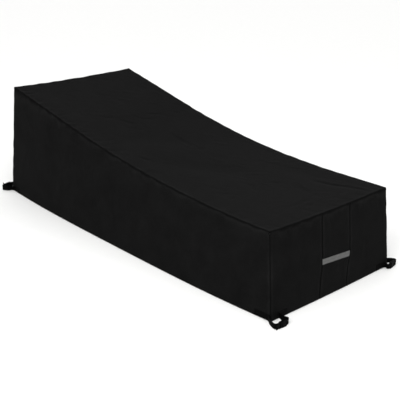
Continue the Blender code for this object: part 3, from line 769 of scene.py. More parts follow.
@dataclass
class Panel:
    """One cut piece of cloth on a wall, from its start to its finish and down it."""

    name: str
    node: str
    wall: Wall
    seams: dict[Rim, str]           # the sewn edges and the seams that they lie in
    puckers: dict[Rim, Puckers]
    low: Callable[[Array], Array] | None = None
    high: Callable[[Array], Array] | None = None
    pitch: float = 0.0085
    cloth: float = 0.0009           # thickness of the cloth
    roll: float = 0.0075            # the cloth rolls into a seam over this distance
    roll_depth: float = 0.0016
    lip: float = 0.0009             # the allowance under a seam lifts the cloth by this
    lip_from_seam: float = 0.0085
    lip_half: float = 0.0040
    wave_fade: float = 0.035
    gap: float = 0.0003
    stitch_sink: float = 0.0006
    stitch_half: float = 0.0012
    crease_fade: float = 0.03       # creases and wrinkles fade out over this from each edge
    pucker_fade: float = 0.05
    hem_rise: float = 0.0005        # the turned hem stands up by this
    hem_soft: float = 0.0008
    seam_shade: float = 1.6         # unevenly wider painted shadow under the top's seams
    foot_shade: float = 0.3         # share of that at a side's foot end
    corner_shade: float = 1.8       # wider still towards the head end's corners
    corner_reach: float = 0.22

    @property
    def hemmed(self) -> bool:
        """Whether the lower edge is a hem."""
        return self.wall is not Wall.TOP

    @property
    def is_end(self) -> bool:
        """Whether the piece is on one of the two ends."""
        return self.wall in (Wall.HEAD, Wall.FOOT)

    def drop(self, start: Array) -> Array:
        """Depth of the piece.

        Args:
            start: distances from its start.

        Returns:
            Distances from its upper to its lower edge.
        """
        if self.wall is Wall.TOP:
            return np.full_like(start, SHAPE.top_width)
        if self.is_end:
            middle = np.array([0.5])
            height = SHAPE.end(self.wall, middle, np.zeros(1))[0, 2] - HEM_LIFT
            return np.full_like(start, height)
        along = np.clip(start / SHAPE.top_length, 0.0, 1.0)
        return SHAPE.side(self.wall, along, np.zeros_like(along))[:, 2] - HEM_LIFT

    def bounds(self, down: Array) -> tuple[Array, Array]:
        """Shares of the wall where the piece starts and finishes.

        Args:
            down: shares of the wall's depth.

        Returns:
            The starts and the finishes.
        """
        low = self.low(down) if self.low else np.zeros_like(down)
        high = self.high(down) if self.high else np.ones_like(down)
        return low, high

    def full(self) -> float:
        """Length of the whole wall, along the piece's start to finish."""
        return SHAPE.top_width if self.is_end else SHAPE.top_length

    def span(self, down: Array) -> Array:
        """Length of the piece.

        Args:
            down: distances down it.

        Returns:
            Distances from its start to its finish.
        """
        share = np.clip(down / self.drop(np.zeros_like(down)), 0.0, 1.0) if self.is_end else down
        low, high = self.bounds(share)
        return (high - low) * self.full()

    def shares(self, start: Array, down: Array) -> tuple[Array, Array]:
        """The wall's two shares at points of the piece.

        Args:
            start: distances from its start.
            down: distances down it.

        Returns:
            The first shares and the second shares.
        """
        second = np.clip(down / self.drop(start), 0.0, 1.0)
        low, _ = self.bounds(second)
        return np.clip(low + start / self.full(), 0.0, 1.0), second

    def distance(self, rim: Rim, start: Array, down: Array) -> Array:
        """Distance of points from one edge.

        Args:
            rim: the edge.
            start: distances from the start.
            down: distances down the piece.

        Returns:
            Distances.
        """
        if rim is Rim.START:
            return start
        if rim is Rim.FINISH:
            return self.span(down) - start
        return down if rim is Rim.UPPER else self.drop(start) - down

    def over_seam(self, rim: Rim, first: Array, second: Array, own: Array) -> Array:
        """Outward normals of the cloth across a seam.

        Args:
            rim: the sewn edge.
            first: the piece's first shares.
            second: its second shares.
            own: the piece's own normals, kept where the seam is inside a wall.

        Returns:
            Unit vectors.
        """
        nil, one = np.zeros_like(first), np.ones_like(first)
        if self.wall is Wall.TOP:
            wall, share = {Rim.START: (Wall.HEAD, second), Rim.FINISH: (Wall.FOOT, second),
                           Rim.UPPER: (Wall.NEAR, first), Rim.LOWER: (Wall.FAR, first)}[rim]
            return SHAPE.normal(wall, share, nil)
        if self.is_end:
            along = nil if self.wall is Wall.HEAD else one
            if rim is Rim.UPPER:
                return SHAPE.normal(Wall.TOP, along, first)
            if self.seams[rim].startswith("strip"):
                return own
            return SHAPE.normal(Wall.NEAR if rim is Rim.START else Wall.FAR, along, second)
        across = nil if self.wall is Wall.NEAR else one
        if rim is Rim.UPPER:
            return SHAPE.normal(Wall.TOP, first, across)
        return SHAPE.normal(Wall.HEAD if rim is Rim.START else Wall.FOOT, across, second)

    def seam_place(self, rim: Rim, start: Array, down: Array) -> tuple[Array, Array | float]:
        """Where points of the piece lie along one of its seams.

        Args:
            rim: the sewn edge.
            start: distances from the start.
            down: distances down the piece.

        Returns:
            Distances along the seam, and the seam's length.
        """
        first, second = self.shares(start, down)
        if rim in (Rim.UPPER, Rim.LOWER):
            return first * self.full(), self.full()
        if self.wall is Wall.TOP:
            return second * SHAPE.top_width, SHAPE.top_width
        height = self.drop(np.full_like(start, 0.0 if rim is Rim.START else self.full()))
        return second * height, height

    def relief(self, start: Array, down: Array) -> Array:
        """Depth of the piece's creases, wrinkles, puckers, lips and stitch lines.

        Args:
            start: distances from the start.
            down: distances down the piece.

        Returns:
            Depths, positive inwards.
        """
        first, _ = self.shares(start, down)
        along = first * self.full()
        depth = fold_sum(CREASES[self.wall] + self.scattered(), along, down)
        span, drop = self.span(down), self.drop(start)
        margin = np.minimum(np.minimum(start, span - start), np.minimum(down, drop - down))
        depth = depth * np.clip(margin / self.crease_fade, 0.0, 1.0)
        for rim in self.seams:
            distance = self.distance(rim, start, down)
            depth -= self.lip * np.exp(-((distance - self.lip_from_seam) / self.lip_half) ** 2)
            depth += self.stitch_line(distance - SEAM_STITCH)
            if rim in self.puckers:
                place, _ = self.seam_place(rim, start, down)
                length = self.full() if rim in (Rim.UPPER, Rim.LOWER) else float(drop.max())
                ends = np.clip(np.minimum(place, length - place) / self.pucker_fade, 0.0, 1.0)
                depth += self.puckers[rim].depth_at(place, distance, length) * ends
        if self.hemmed:
            above = drop - down
            inside = 0.5 - 0.5 * np.tanh(0.5 * (above - HEM_WIDTH) / self.hem_soft)
            depth += self.stitch_line(above - HEM_STITCH) - self.hem_rise * inside
        return depth

    def stitch_line(self, aside: Array) -> Array:
        """Depth of the groove that a line of stitches presses at distances aside of it."""
        return self.stitch_sink * np.exp(-(aside / self.stitch_half) ** 2)

    def scattered(self) -> list[Fold]:
        """Small wrinkles placed by chance on the whole wall.

        Returns:
            The wrinkles, the same ones each time.
        """
        count, turn, size = SMALL_WRINKLES[self.wall]
        chance = np.random.default_rng(WRINKLE_SEED + list(Wall).index(self.wall))
        depth = float(self.drop(np.array([0.5 * self.full()]))[0])
        return [Fold(chance.uniform(0.0, self.full()), chance.uniform(0.0, depth),
                     chance.normal(turn, WRINKLE_TURNS), chance.uniform(*WRINKLE_LENGTHS),
                     chance.uniform(*WRINKLE_WIDTHS), size * chance.normal(0.0, WRINKLE_DEPTHS),
                     chance.uniform(*WRINKLE_BENDS), WRINKLE_RIDGE) for _ in range(count)]

    def surface(self, start: Array, down: Array) -> Array:
        """Finished outer points of the cloth, its hem's fold and flap included.

        Args:
            start: distances from the start.
            down: distances down the piece; past the hem they go round its fold.

        Returns:
            One point for each pair of distances.
        """
        drop = self.drop(start)
        flap = np.maximum(0.0, down - drop) if self.hemmed else np.zeros_like(down)
        level = np.minimum(down, drop)
        first, second = self.shares(start, level)
        place = SHAPE.place(self.wall, first, second)
        own = SHAPE.normal(self.wall, first, second)
        place = place - own * self.relief(start, level)[:, None]
        pull, reach = own.copy(), np.zeros_like(start)
        for rim, seam in self.seams.items():
            distance = self.distance(rim, start, level)
            other = self.over_seam(rim, first, second, own)
            weight = np.clip(1.0 - distance / self.roll, 0.0, 1.0) ** 2
            pull += other * weight[:, None]
            reach = np.maximum(reach, weight)
            wave = SEAM_WAVES[seam].pull(*self.seam_place(rim, start, level))
            wave = wave * np.exp(-(distance / self.wave_fade) ** 2)
            place -= unit(own + other) * wave[:, None]
            if seam.startswith("strip"):
                out = np.tile([0.0, -1.0 if rim is Rim.START else 1.0, 0.0], (len(start), 1))
            else:
                out = unit(other - own * np.sum(other * own, axis=1, keepdims=True))
            place -= out * (self.gap * weight)[:, None]
        place -= unit(pull) * (self.roll_depth * reach)[:, None]
        if self.hemmed:
            step = 0.02
            below = np.maximum(second, step)
            fall = unit(SHAPE.place(self.wall, first, below)
                        - SHAPE.place(self.wall, first, below - step))
            turn = np.minimum(flap / HEM_FOLD, math.pi)
            back = np.maximum(0.0, flap - math.pi * HEM_FOLD)
            low = HEM_FOLD * np.sin(turn) - back
            place += fall * low[:, None] - own * (HEM_FOLD * (1.0 - np.cos(turn)))[:, None]
            place += np.array([0.0, 0.0, HEM_FOLD])
        return place

    def lattice(self) -> tuple[Array, Array]:
        """Distances of the grid's points from the start and down the piece.

        Returns:
            Two arrays, one row for each line across the piece.
        """
        tail = HEM_LINES if self.hemmed else SEAM_LINES
        middle = np.array([0.0])
        rows = spread(self.drop(middle), SEAM_LINES, tail, self.pitch)[0]
        starts = spread(self.span(rows), SEAM_LINES, SEAM_LINES, self.pitch)    # by row
        downs = spread(self.drop(starts[0]), SEAM_LINES, tail, self.pitch)      # by column
        if self.hemmed:
            flap = downs[:, -1:] + np.array(FLAP_LINES)
            downs = np.hstack([downs, flap])
            starts = np.vstack([starts, np.tile(starts[-1], (len(FLAP_LINES), 1))])
        return starts.T, downs

    def mesh(self) -> bpy.types.Mesh:
        """The piece's sheet, with its weave's map and its distance from the seams.

        Returns:
            An open mesh that faces outwards.
        """
        starts, downs = self.lattice()
        columns, rows = starts.shape[0] - 1, starts.shape[1] - 1
        mesh, across, along = grid_mesh(self.name, columns, rows)
        column, row = np.rint(across * columns).astype(int), np.rint(along * rows).astype(int)
        start, down = starts[column, row], downs[column, row]
        mesh.vertices.foreach_set("co", self.surface(start, down).ravel())
        mesh.update()
        add_weave_map(mesh, start, down)
        self.add_shading(mesh, start, down)
        outward_mesh(mesh, OUT[self.wall])
        return mesh

    def add_shading(self, mesh: bpy.types.Mesh, start: Array, down: Array) -> None:
        """Give the sheet the distances from its seams and its hem that its finish reads.

        Args:
            mesh: the sheet.
            start: distances from the start at its corners.
            down: distances down the piece.
        """
        nearest = np.full_like(start, FAR_OFF)
        for rim, name in self.seams.items():
            distance = self.distance(rim, start, down)
            # Shrinking the distance under the top's seams widens the painted shadow there
            # unevenly; adding the ease beside upright seams narrows it.
            if rim is Rim.UPPER and self.hemmed:
                place = self.seam_place(rim, start, down)[0]
                uneven = SEAM_WAVES[name].share(place)
                if not self.is_end:
                    uneven = uneven * mix(1.0, self.foot_shade, place / self.full())
                    uneven = uneven + self.corner_shade * np.exp(-place / self.corner_reach)
                distance = distance / (1.0 + self.seam_shade * uneven)
            elif self.hemmed:
                distance = distance + SEAM_WAVES[name].ease
            nearest = np.minimum(nearest, distance)
        add_distances(mesh, "seam", np.maximum(nearest, 0.0))
        hem = self.drop(start) - down if self.hemmed else np.full_like(start, FAR_OFF)
        add_distances(mesh, "hem", np.clip(hem, 0.0, FAR_OFF))

    def flat_size(self) -> tuple[tuple[float, float], float]:
        """Width and length that the piece was cut to, and its flat area.

        Returns:
            The cut's width and length with allowances, and the area in square metres.
        """
        drops = self.drop(np.linspace(0.0, self.full(), DROP_SAMPLES))
        spans = self.span(np.linspace(0.0, float(drops.max()), SPAN_SAMPLES))
        sloped = self.wall in (Wall.NEAR, Wall.FAR)
        lean = 0.5 * (SHAPE.hem_length - SHAPE.top_length) if sloped else 0.0
        length = float(spans.max()) + 2.0 * ALLOWANCE + lean
        extra = ALLOWANCE + (HEM_WIDTH if self.hemmed else ALLOWANCE)
        width = float(drops.max()) + extra
        area = (float(spans.mean()) + 2.0 * ALLOWANCE) * (float(drops.mean()) + extra)
        return (width, length), min(area, width * length)


# ---- sewing ----------------------------------------------------------------
@dataclass(frozen=True)
class Stitching:
    """Rows of lockstitch, each stitch a short rounded bar of thread."""

    pitch: float = 0.0062           # drawn longer than a real 4 mm stitch, so that it shows
    length: float = 0.0042
    half_width: float = 0.00048
    half_thick: float = 0.00034
    lift: float = 0.00012
    around: int = 6
    rings: int = 4
    shortest: float = 0.4           # a bar shorter than this share of a stitch is left out

    def rows(self, name: str, lines: Sequence[tuple[Array, Array]]) -> bpy.types.Mesh:
        """Mesh of stitches along several lines.

        Args:
            name: name of the mesh.
            lines: for each line its points and their outward normals.

        Returns:
            One mesh of closed stitches.
        """
        bm = bmesh.new()
        for points, normals in lines:
            steps = np.linalg.norm(np.diff(points, axis=0), axis=1)
            run = np.concatenate([[0.0], np.cumsum(steps)])
            count = int((run[-1] - self.length) / self.pitch)
            middles = 0.5 * self.length + self.pitch * np.arange(count + 1)
            part = bmesh.new()
            for middle in middles:
                before, after = middle - 0.5 * self.length, middle + 0.5 * self.length
                ends = [Vector([np.interp(place, run, points[:, axis]) for axis in range(3)])
                        for place in (before, after)]
                normal = Vector([np.interp(middle, run, normals[:, axis]) for axis in range(3)])
                bar = ends[1] - ends[0]
                if bar.length < self.shortest * self.length:
                    continue
                ahead = bar.normalized()
                aside = normal.cross(ahead).normalized()
                up = ahead.cross(aside)
                turn = Matrix((ahead * 0.5 * bar.length, aside * self.half_width,
                               up * self.half_thick)).transposed().to_4x4()
                centre = (ends[0] + ends[1]) * 0.5 + up * self.lift
                bmesh.ops.create_uvsphere(part, u_segments=self.around, v_segments=self.rings,
                                          radius=1.0, matrix=Matrix.Translation(centre) @ turn)
            line = mesh_of("line", part)
            bm.from_mesh(line)
            bpy.data.meshes.remove(line)
        bmesh.ops.recalc_face_normals(bm, faces=bm.faces[:])
        return mesh_of(name, bm)


@dataclass
class ClothPiece:
    """A cut piece of cloth with its stitching."""

    panel: Panel
    cloth: bpy.types.Material
    thread: bpy.types.Material
    stitched: tuple[Rim, ...]       # sewn edges that this piece carries the top stitching of
    slope_step: float = 0.0015      # over which the cloth's slope is measured
    inset: float = 0.009            # stitches begin this far from a corner
    hem_inset: float = 0.002
    level_points: int = 420
    upright_points: int = 300

    def line(self, start: Array, down: Array) -> tuple[Array, Array]:
        """A line on the finished cloth.

        Args:
            start: distances of its points from the piece's start.
            down: distances down the piece.

        Returns:
            Its points and their outward normals.
        """
        surface, step = self.panel.surface, self.slope_step
        aside = surface(start + step, down) - surface(start - step, down)
        below = surface(start, down + step) - surface(start, down - step)
        normals = unit(np.cross(aside, below))
        facing = np.sign(normals @ np.array(OUT[self.panel.wall], float))
        return surface(start, down), normals * facing[:, None]

    def rim_line(self, rim: Rim, offset: float) -> tuple[Array, Array]:
        """A line on the finished cloth beside one edge.

        Args:
            rim: the edge.
            offset: how far from it.

        Returns:
            Its points and their outward normals.
        """
        panel, inset = self.panel, self.inset
        if rim in (Rim.UPPER, Rim.LOWER):
            at_hem = rim is Rim.LOWER and panel.is_end
            level = panel.drop(np.zeros(1)) - offset if at_hem else np.zeros(1)
            start = np.linspace(inset, panel.span(level)[0] - inset, self.level_points)
            down = np.full_like(start, offset) if rim is Rim.UPPER else panel.drop(start) - offset
        else:
            edge = 0.0 if rim is Rim.START else panel.full()
            drop = panel.drop(np.array([edge]))[0]
            tail = self.hem_inset if panel.hemmed else inset
            down = np.linspace(inset, drop - tail, self.upright_points)
            start = np.full_like(down, offset) if rim is Rim.START else panel.span(down) - offset
        return self.line(start, down)

    def build(self) -> tuple[bpy.types.Object, bpy.types.Object]:
        """Make the sheet and its stitches.

        Returns:
            The cloth and its stitching.
        """
        panel = self.panel
        sheet = add_piece(panel.name, panel.mesh(), self.cloth, [panel.node])
        thicken(sheet, panel.cloth, -1.0)
        lines = [self.rim_line(rim, SEAM_STITCH) for rim in self.stitched]
        if panel.hemmed:
            lines.append(self.rim_line(Rim.LOWER, HEM_STITCH))
        mesh = Stitching().rows(panel.name + "_stitches", lines)
        stitches = add_piece(panel.name + "_stitches", mesh, self.thread)
        flat, area = panel.flat_size()
        return sheet, stitches


@dataclass(frozen=True)
class FootBand:
    """Grey woven band sewn flat across the foot end's middle strip."""

    width: float = 0.025
    thick: float = 0.0012
    lift: float = 0.0006
    near_gap: float = 0.0005
    far_gap: float = 0.0045
    down_near: float = 0.576
    down_far: float = 0.6105
    length_down: float = 0.6        # where its length is measured, as a share down the strip
    columns: int = 72
    rows: int = 28
    crown: float = 0.0002
    groove: float = 0.0006          # the middle row of stitches sinks in by this
    groove_half: float = 0.06       # and is this wide, as a share of the band
    edge_rows: float = 0.42         # the other rows, as a share of the band from its middle
    rows_inset: float = 0.01
    row_points: int = 200
    rounding: float = 0.00035
    turned_in: float = 0.02         # length of the two ends that are turned under

    def points(self, strip: Panel, share: Array, rise: Array, lift: float) -> Array:
        """Points on the band.

        Args:
            strip: the cloth that it is sewn to.
            share: shares of its length, from near to far.
            rise: shares of its width, from -0.5 to 0.5.
            lift: height over its back.

        Returns:
            One point for each pair of shares.
        """
        down = self.middle(strip, share) - rise * self.width
        start = mix(self.near_gap, strip.span(down) - self.far_gap, share)
        normal = SHAPE.normal(Wall.FOOT, *strip.shares(start, down))
        return strip.surface(start, down) + normal * (self.lift + lift)

    def middle(self, strip: Panel, share: Array) -> Array:
        """How far down the strip the band's middle is at shares of its length."""
        return mix(self.down_near, self.down_far, share) * strip.drop(np.zeros(1))[0]

    def build(self, strip: Panel, band: bpy.types.Material,
              thread: bpy.types.Material) -> bpy.types.Object:
        """Make the band and the stitches along its edges and its middle.

        Args:
            strip: the cloth that it is sewn to.
            band: finish of the band.
            thread: finish of its stitches.

        Returns:
            The band.
        """
        name, out = "foot_band_webbing", np.array([[1.0, 0.0, 0.0]])
        mesh, share, rise = grid_mesh(name, self.columns, self.rows)
        rise = rise - 0.5
        crown = self.crown * np.cos(math.pi * rise)
        crown = crown - self.groove * np.exp(-(rise / self.groove_half) ** 2)
        place = self.points(strip, share, rise, self.thick) + crown[:, None] * out
        mesh.vertices.foreach_set("co", place.ravel())
        mesh.update()
        span = strip.span(self.length_down * strip.drop(np.zeros(1)))
        length = float(span[0]) - self.near_gap - self.far_gap
        add_weave_map(mesh, share * length, rise * self.width)
        outward_mesh(mesh, out[0])
        piece = add_piece(name, mesh, band, ["foot_band"])
        thicken(piece, self.thick, -1.0)
        round_edges(piece, self.rounding, 30.0)
        shares = np.linspace(self.rows_inset, 1.0 - self.rows_inset, self.row_points)
        lines = []
        for row, sunk in ((-self.edge_rows, 0.0), (0.0, self.groove - self.crown),
                          (self.edge_rows, 0.0)):
            spots = self.points(strip, shares, np.full_like(shares, row), self.thick - sunk)
            lines.append((spots, np.tile([1.0, 0.0, 0.1], (len(spots), 1))))
        mesh = Stitching().rows("foot_band_stitches", lines)
        stitches = add_piece("foot_band_stitches", mesh, thread)
        return piece


# ---- corner straps ---------------------------------------------------------
@dataclass(frozen=True)
class Spot:
    """Point of a strap's centre line, and the direction of its width."""

    place: Vector
    up: Vector


@dataclass(frozen=True)
class Near:
    """Point near a buckle bar: back from it, and in from the buckle's centre line."""

    back: float
    inwards: float


@dataclass(frozen=True)
class Lay:
    """Point of webbing past a bar: back from it, off the centre line, and rise."""

    back: float
    off: float
    rise: float


@dataclass(frozen=True)
class Way:
    """Point of a loop: out from the end of the cover, and past its side."""

    out: float
    past: float


@dataclass(frozen=True)
class Tail:
    """How a free end lies: its face (1 outer, -1 inner), its bend and its lay."""

    face: int
    bend: tuple[Near, ...]
    lays: tuple[Lay, ...]


UP = Vector((0, 0, 1))
OUTER_BEND = (Near(0.0190, 0.0110), Near(0.0125, 0.0028))
ROUND_BEND = (Near(0.0200, 0.0085), Near(0.0130, -0.0020))
FIXED_BEND = (Near(0.0195, 0.0078), Near(0.0135, -0.0004))
TIGHT_BEND = (Near(0.0155, 0.0062), Near(0.0118, -0.0008))
SEWN_END = (Lay(0.0100, 0.0024, 0.0), Lay(0.0128, 0.0020, 0.0))
LOW_TAIL = Tail(1, OUTER_BEND, (
    Lay(0.0125, 0.0040, 0.0), Lay(0.0175, 0.0042, -0.0004), Lay(0.0230, 0.0030, -0.0010)))
LEANING_TAIL = Tail(-1, ROUND_BEND, (
    Lay(0.0105, 0.0050, 0.0006), Lay(0.0128, 0.0080, 0.0020), Lay(0.0142, 0.0115, 0.0042),
    Lay(0.0148, 0.0150, 0.0064)))
RAISED_TAIL = Tail(-1, ROUND_BEND, (
    Lay(0.0110, 0.0050, 0.0012), Lay(0.0134, 0.0072, 0.0050), Lay(0.0150, 0.0098, 0.0106),
    Lay(0.0160, 0.0126, 0.0176), Lay(0.0164, 0.0150, 0.0250)))
FREE_STEPS = ((0.055, 0.0), (0.025, 0.0002), (0.0, 0.0012))
FIXED_STEPS = ((0.055, 0.0), (0.030, 0.0), (0.012, 0.0010), (0.0, 0.0055))


def run_lengths(path: Sequence[Spot]) -> list[float]:
    """Distances along a path.

    Args:
        path: its spots.

    Returns:
        The distance from its start to each spot.
    """
    runs = [0.0]
    for before, after in zip(path, path[1:]):
        runs.append(runs[-1] + (after.place - before.place).length)
    return runs


@dataclass(frozen=True)
class Webbing:
    """Polypropylene strap webbing and the ways that it is laid and turned."""

    width: float = 0.025
    thick: float = 0.0014
    across: int = 12
    path_steps: int = 9
    turn_steps: int = 14
    turn_lead: float = 0.006
    turn_pinch: float = 0.75
    clearance: float = 0.0003
    bar: float = 0.003
    crown: float = 0.00012
    line_steps: int = 12            # points on each straight run of a stitch line

    def smooth(self, spots: Sequence[Spot]) -> list[Spot]:
        """Smooth curve through the spots.

        Args:
            spots: points that the curve passes.

        Returns:
            Evenly shared points of the curve.
        """
        places = [spots[0].place * 2.0 - spots[1].place]
        places += [spot.place for spot in spots]
        places.append(spots[-1].place * 2.0 - spots[-2].place)
        path = []
        for index in range(len(spots) - 1):
            p0, p1, p2, p3 = places[index:index + 4]
            for step in range(self.path_steps):
                t = step / self.path_steps
                place = 0.5 * (2.0 * p1 + (p2 - p0) * t
                               + (2.0 * p0 - 5.0 * p1 + 4.0 * p2 - p3) * t ** 2
                               + (3.0 * p1 - p0 - 3.0 * p2 + p3) * t ** 3)
                up = mix(spots[index].up, spots[index + 1].up, t).normalized()
                path.append(Spot(place, up))
        path.append(spots[-1])
        return path

    def round_bar(self, bar: Vector, ahead: Vector, face: Vector) -> list[Spot]:
        """Way of the webbing round a bar: in on one face, out on the other.

        Args:
            bar: middle of the bar.
            ahead: direction in which the webbing comes.
            face: the face that it comes in on.

        Returns:
            Spots of the bend.
        """
        radius = self.bar * math.sqrt(0.5) + self.clearance + 0.5 * self.thick
        path = [Spot(bar + face * (self.turn_pinch * radius) - ahead * self.turn_lead, UP)]
        for step in range(self.turn_steps + 1):
            angle = math.pi * (0.5 - step / self.turn_steps)
            path.append(Spot(bar + ahead * (radius * math.cos(angle))
                             + face * (radius * math.sin(angle)), UP))
        path.append(Spot(bar - face * (self.turn_pinch * radius) - ahead * self.turn_lead, UP))
        return path

    def ribbon(self, name: str, path: Sequence[Spot]) -> tuple[bpy.types.Mesh, float]:
        """Flat ribbon of webbing along a path.

        Args:
            name: name of the mesh.
            path: its centre line.

        Returns:
            The ribbon's middle sheet, and its length.
        """
        columns = len(path) - 1
        bm = bmesh.new()
        bmesh.ops.create_grid(bm, x_segments=columns, y_segments=self.across, size=0.5)
        weave = bm.loops.layers.uv.new("weave")
        places, runs = [spot.place for spot in path], run_lengths(path)
        flat = {vert: vert.co.copy() for vert in bm.verts}
        for vert, spot in flat.items():
            column = round((spot.x + 0.5) * columns)
            share = spot.y
            before, after = places[max(0, column - 1)], places[min(columns, column + 1)]
            ahead = (after - before).normalized()
            aside = ahead.cross(path[column].up).normalized()
            up = aside.cross(ahead)
            hollow = self.crown * math.cos(2.0 * math.pi * share)
            vert.co = places[column] + up * (self.width * share) + aside * hollow
            for loop in vert.link_loops:
                loop[weave].uv = (runs[column], self.width * share)
        return mesh_of(name, bm), runs[-1]

    def stitches(self, path: Sequence[Spot], lines: Sequence[Sequence[tuple[float, float]]],
                 face: int) -> list[tuple[Array, Array]]:
        """Stitch lines on the webbing.

        Args:
            path: centre line of the webbing.
            lines: corners of each line, as distance along the webbing and share across it.
            face: the face that carries them, 1 or -1.

        Returns:
            Points and normals of each line.
        """
        places, runs = [spot.place for spot in path], run_lengths(path)
        made = []
        for line in lines:
            points, normals = [], []
            for (run_a, share_a), (run_b, share_b) in zip(line, line[1:]):
                for step in range(self.line_steps + 1):
                    t = step / self.line_steps
                    run, share = mix(run_a, run_b, t), mix(share_a, share_b, t)
                    column = min(len(places) - 2, max(0, int(np.searchsorted(runs, run)) - 1))
                    part = (run - runs[column]) / max(1e-9, runs[column + 1] - runs[column])
                    ahead = (places[column + 1] - places[column]).normalized()
                    aside = ahead.cross(path[column].up).normalized()
                    up = aside.cross(ahead)
                    spot = mix(places[column], places[column + 1], part)
                    spot = spot + up * (self.width * share) + aside * (0.5 * self.thick * face)
                    points.append(spot)
                    normals.append(aside * face)
            made.append((np.array(points), np.array(normals)))
        return made


@dataclass(frozen=True)
class Buckle:
    """Side-release buckle: its size and how its two halves are dressed."""

    length: float = 0.0443
    rise: float = 0.0165
    bevel: float = 0.0005
    angle: float = 25.0             # edges that turn by more degrees than this are rounded
    pad_height: float = 0.0005
    weld: float = 1e-5              # corners of the solid's facets closer than this are one
    flat_angle: float = math.radians(1.0)

    def dress(self, node: str, plastic: bpy.types.Material,
              details: Callable[[bmesh.types.BMesh], None]) -> bpy.types.Object:
        """Rounded copy of a half of the buckle, with its moulded details.

        Args:
            node: the CAD node that it stands for.
            plastic: its finish.
            details: adds the moulded details to the mesh.

        Returns:
            The finished half.
        """
        bm = bmesh.new()
        bm.from_mesh(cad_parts[node].data)
        bmesh.ops.remove_doubles(bm, verts=bm.verts[:], dist=self.weld)
        bmesh.ops.dissolve_limit(bm, angle_limit=self.flat_angle, verts=bm.verts[:],
                                 edges=bm.edges[:])
        bmesh.ops.recalc_face_normals(bm, faces=bm.faces[:])
        details(bm)
        mesh = mesh_of(node + "_moulded", bm)
        piece = add_piece(mesh.name, mesh, plastic, [node])
        round_edges(piece, self.bevel, self.angle)
        flat = piece.modifiers.new("flats", "WEIGHTED_NORMAL")
        flat.keep_sharp = True
        return piece


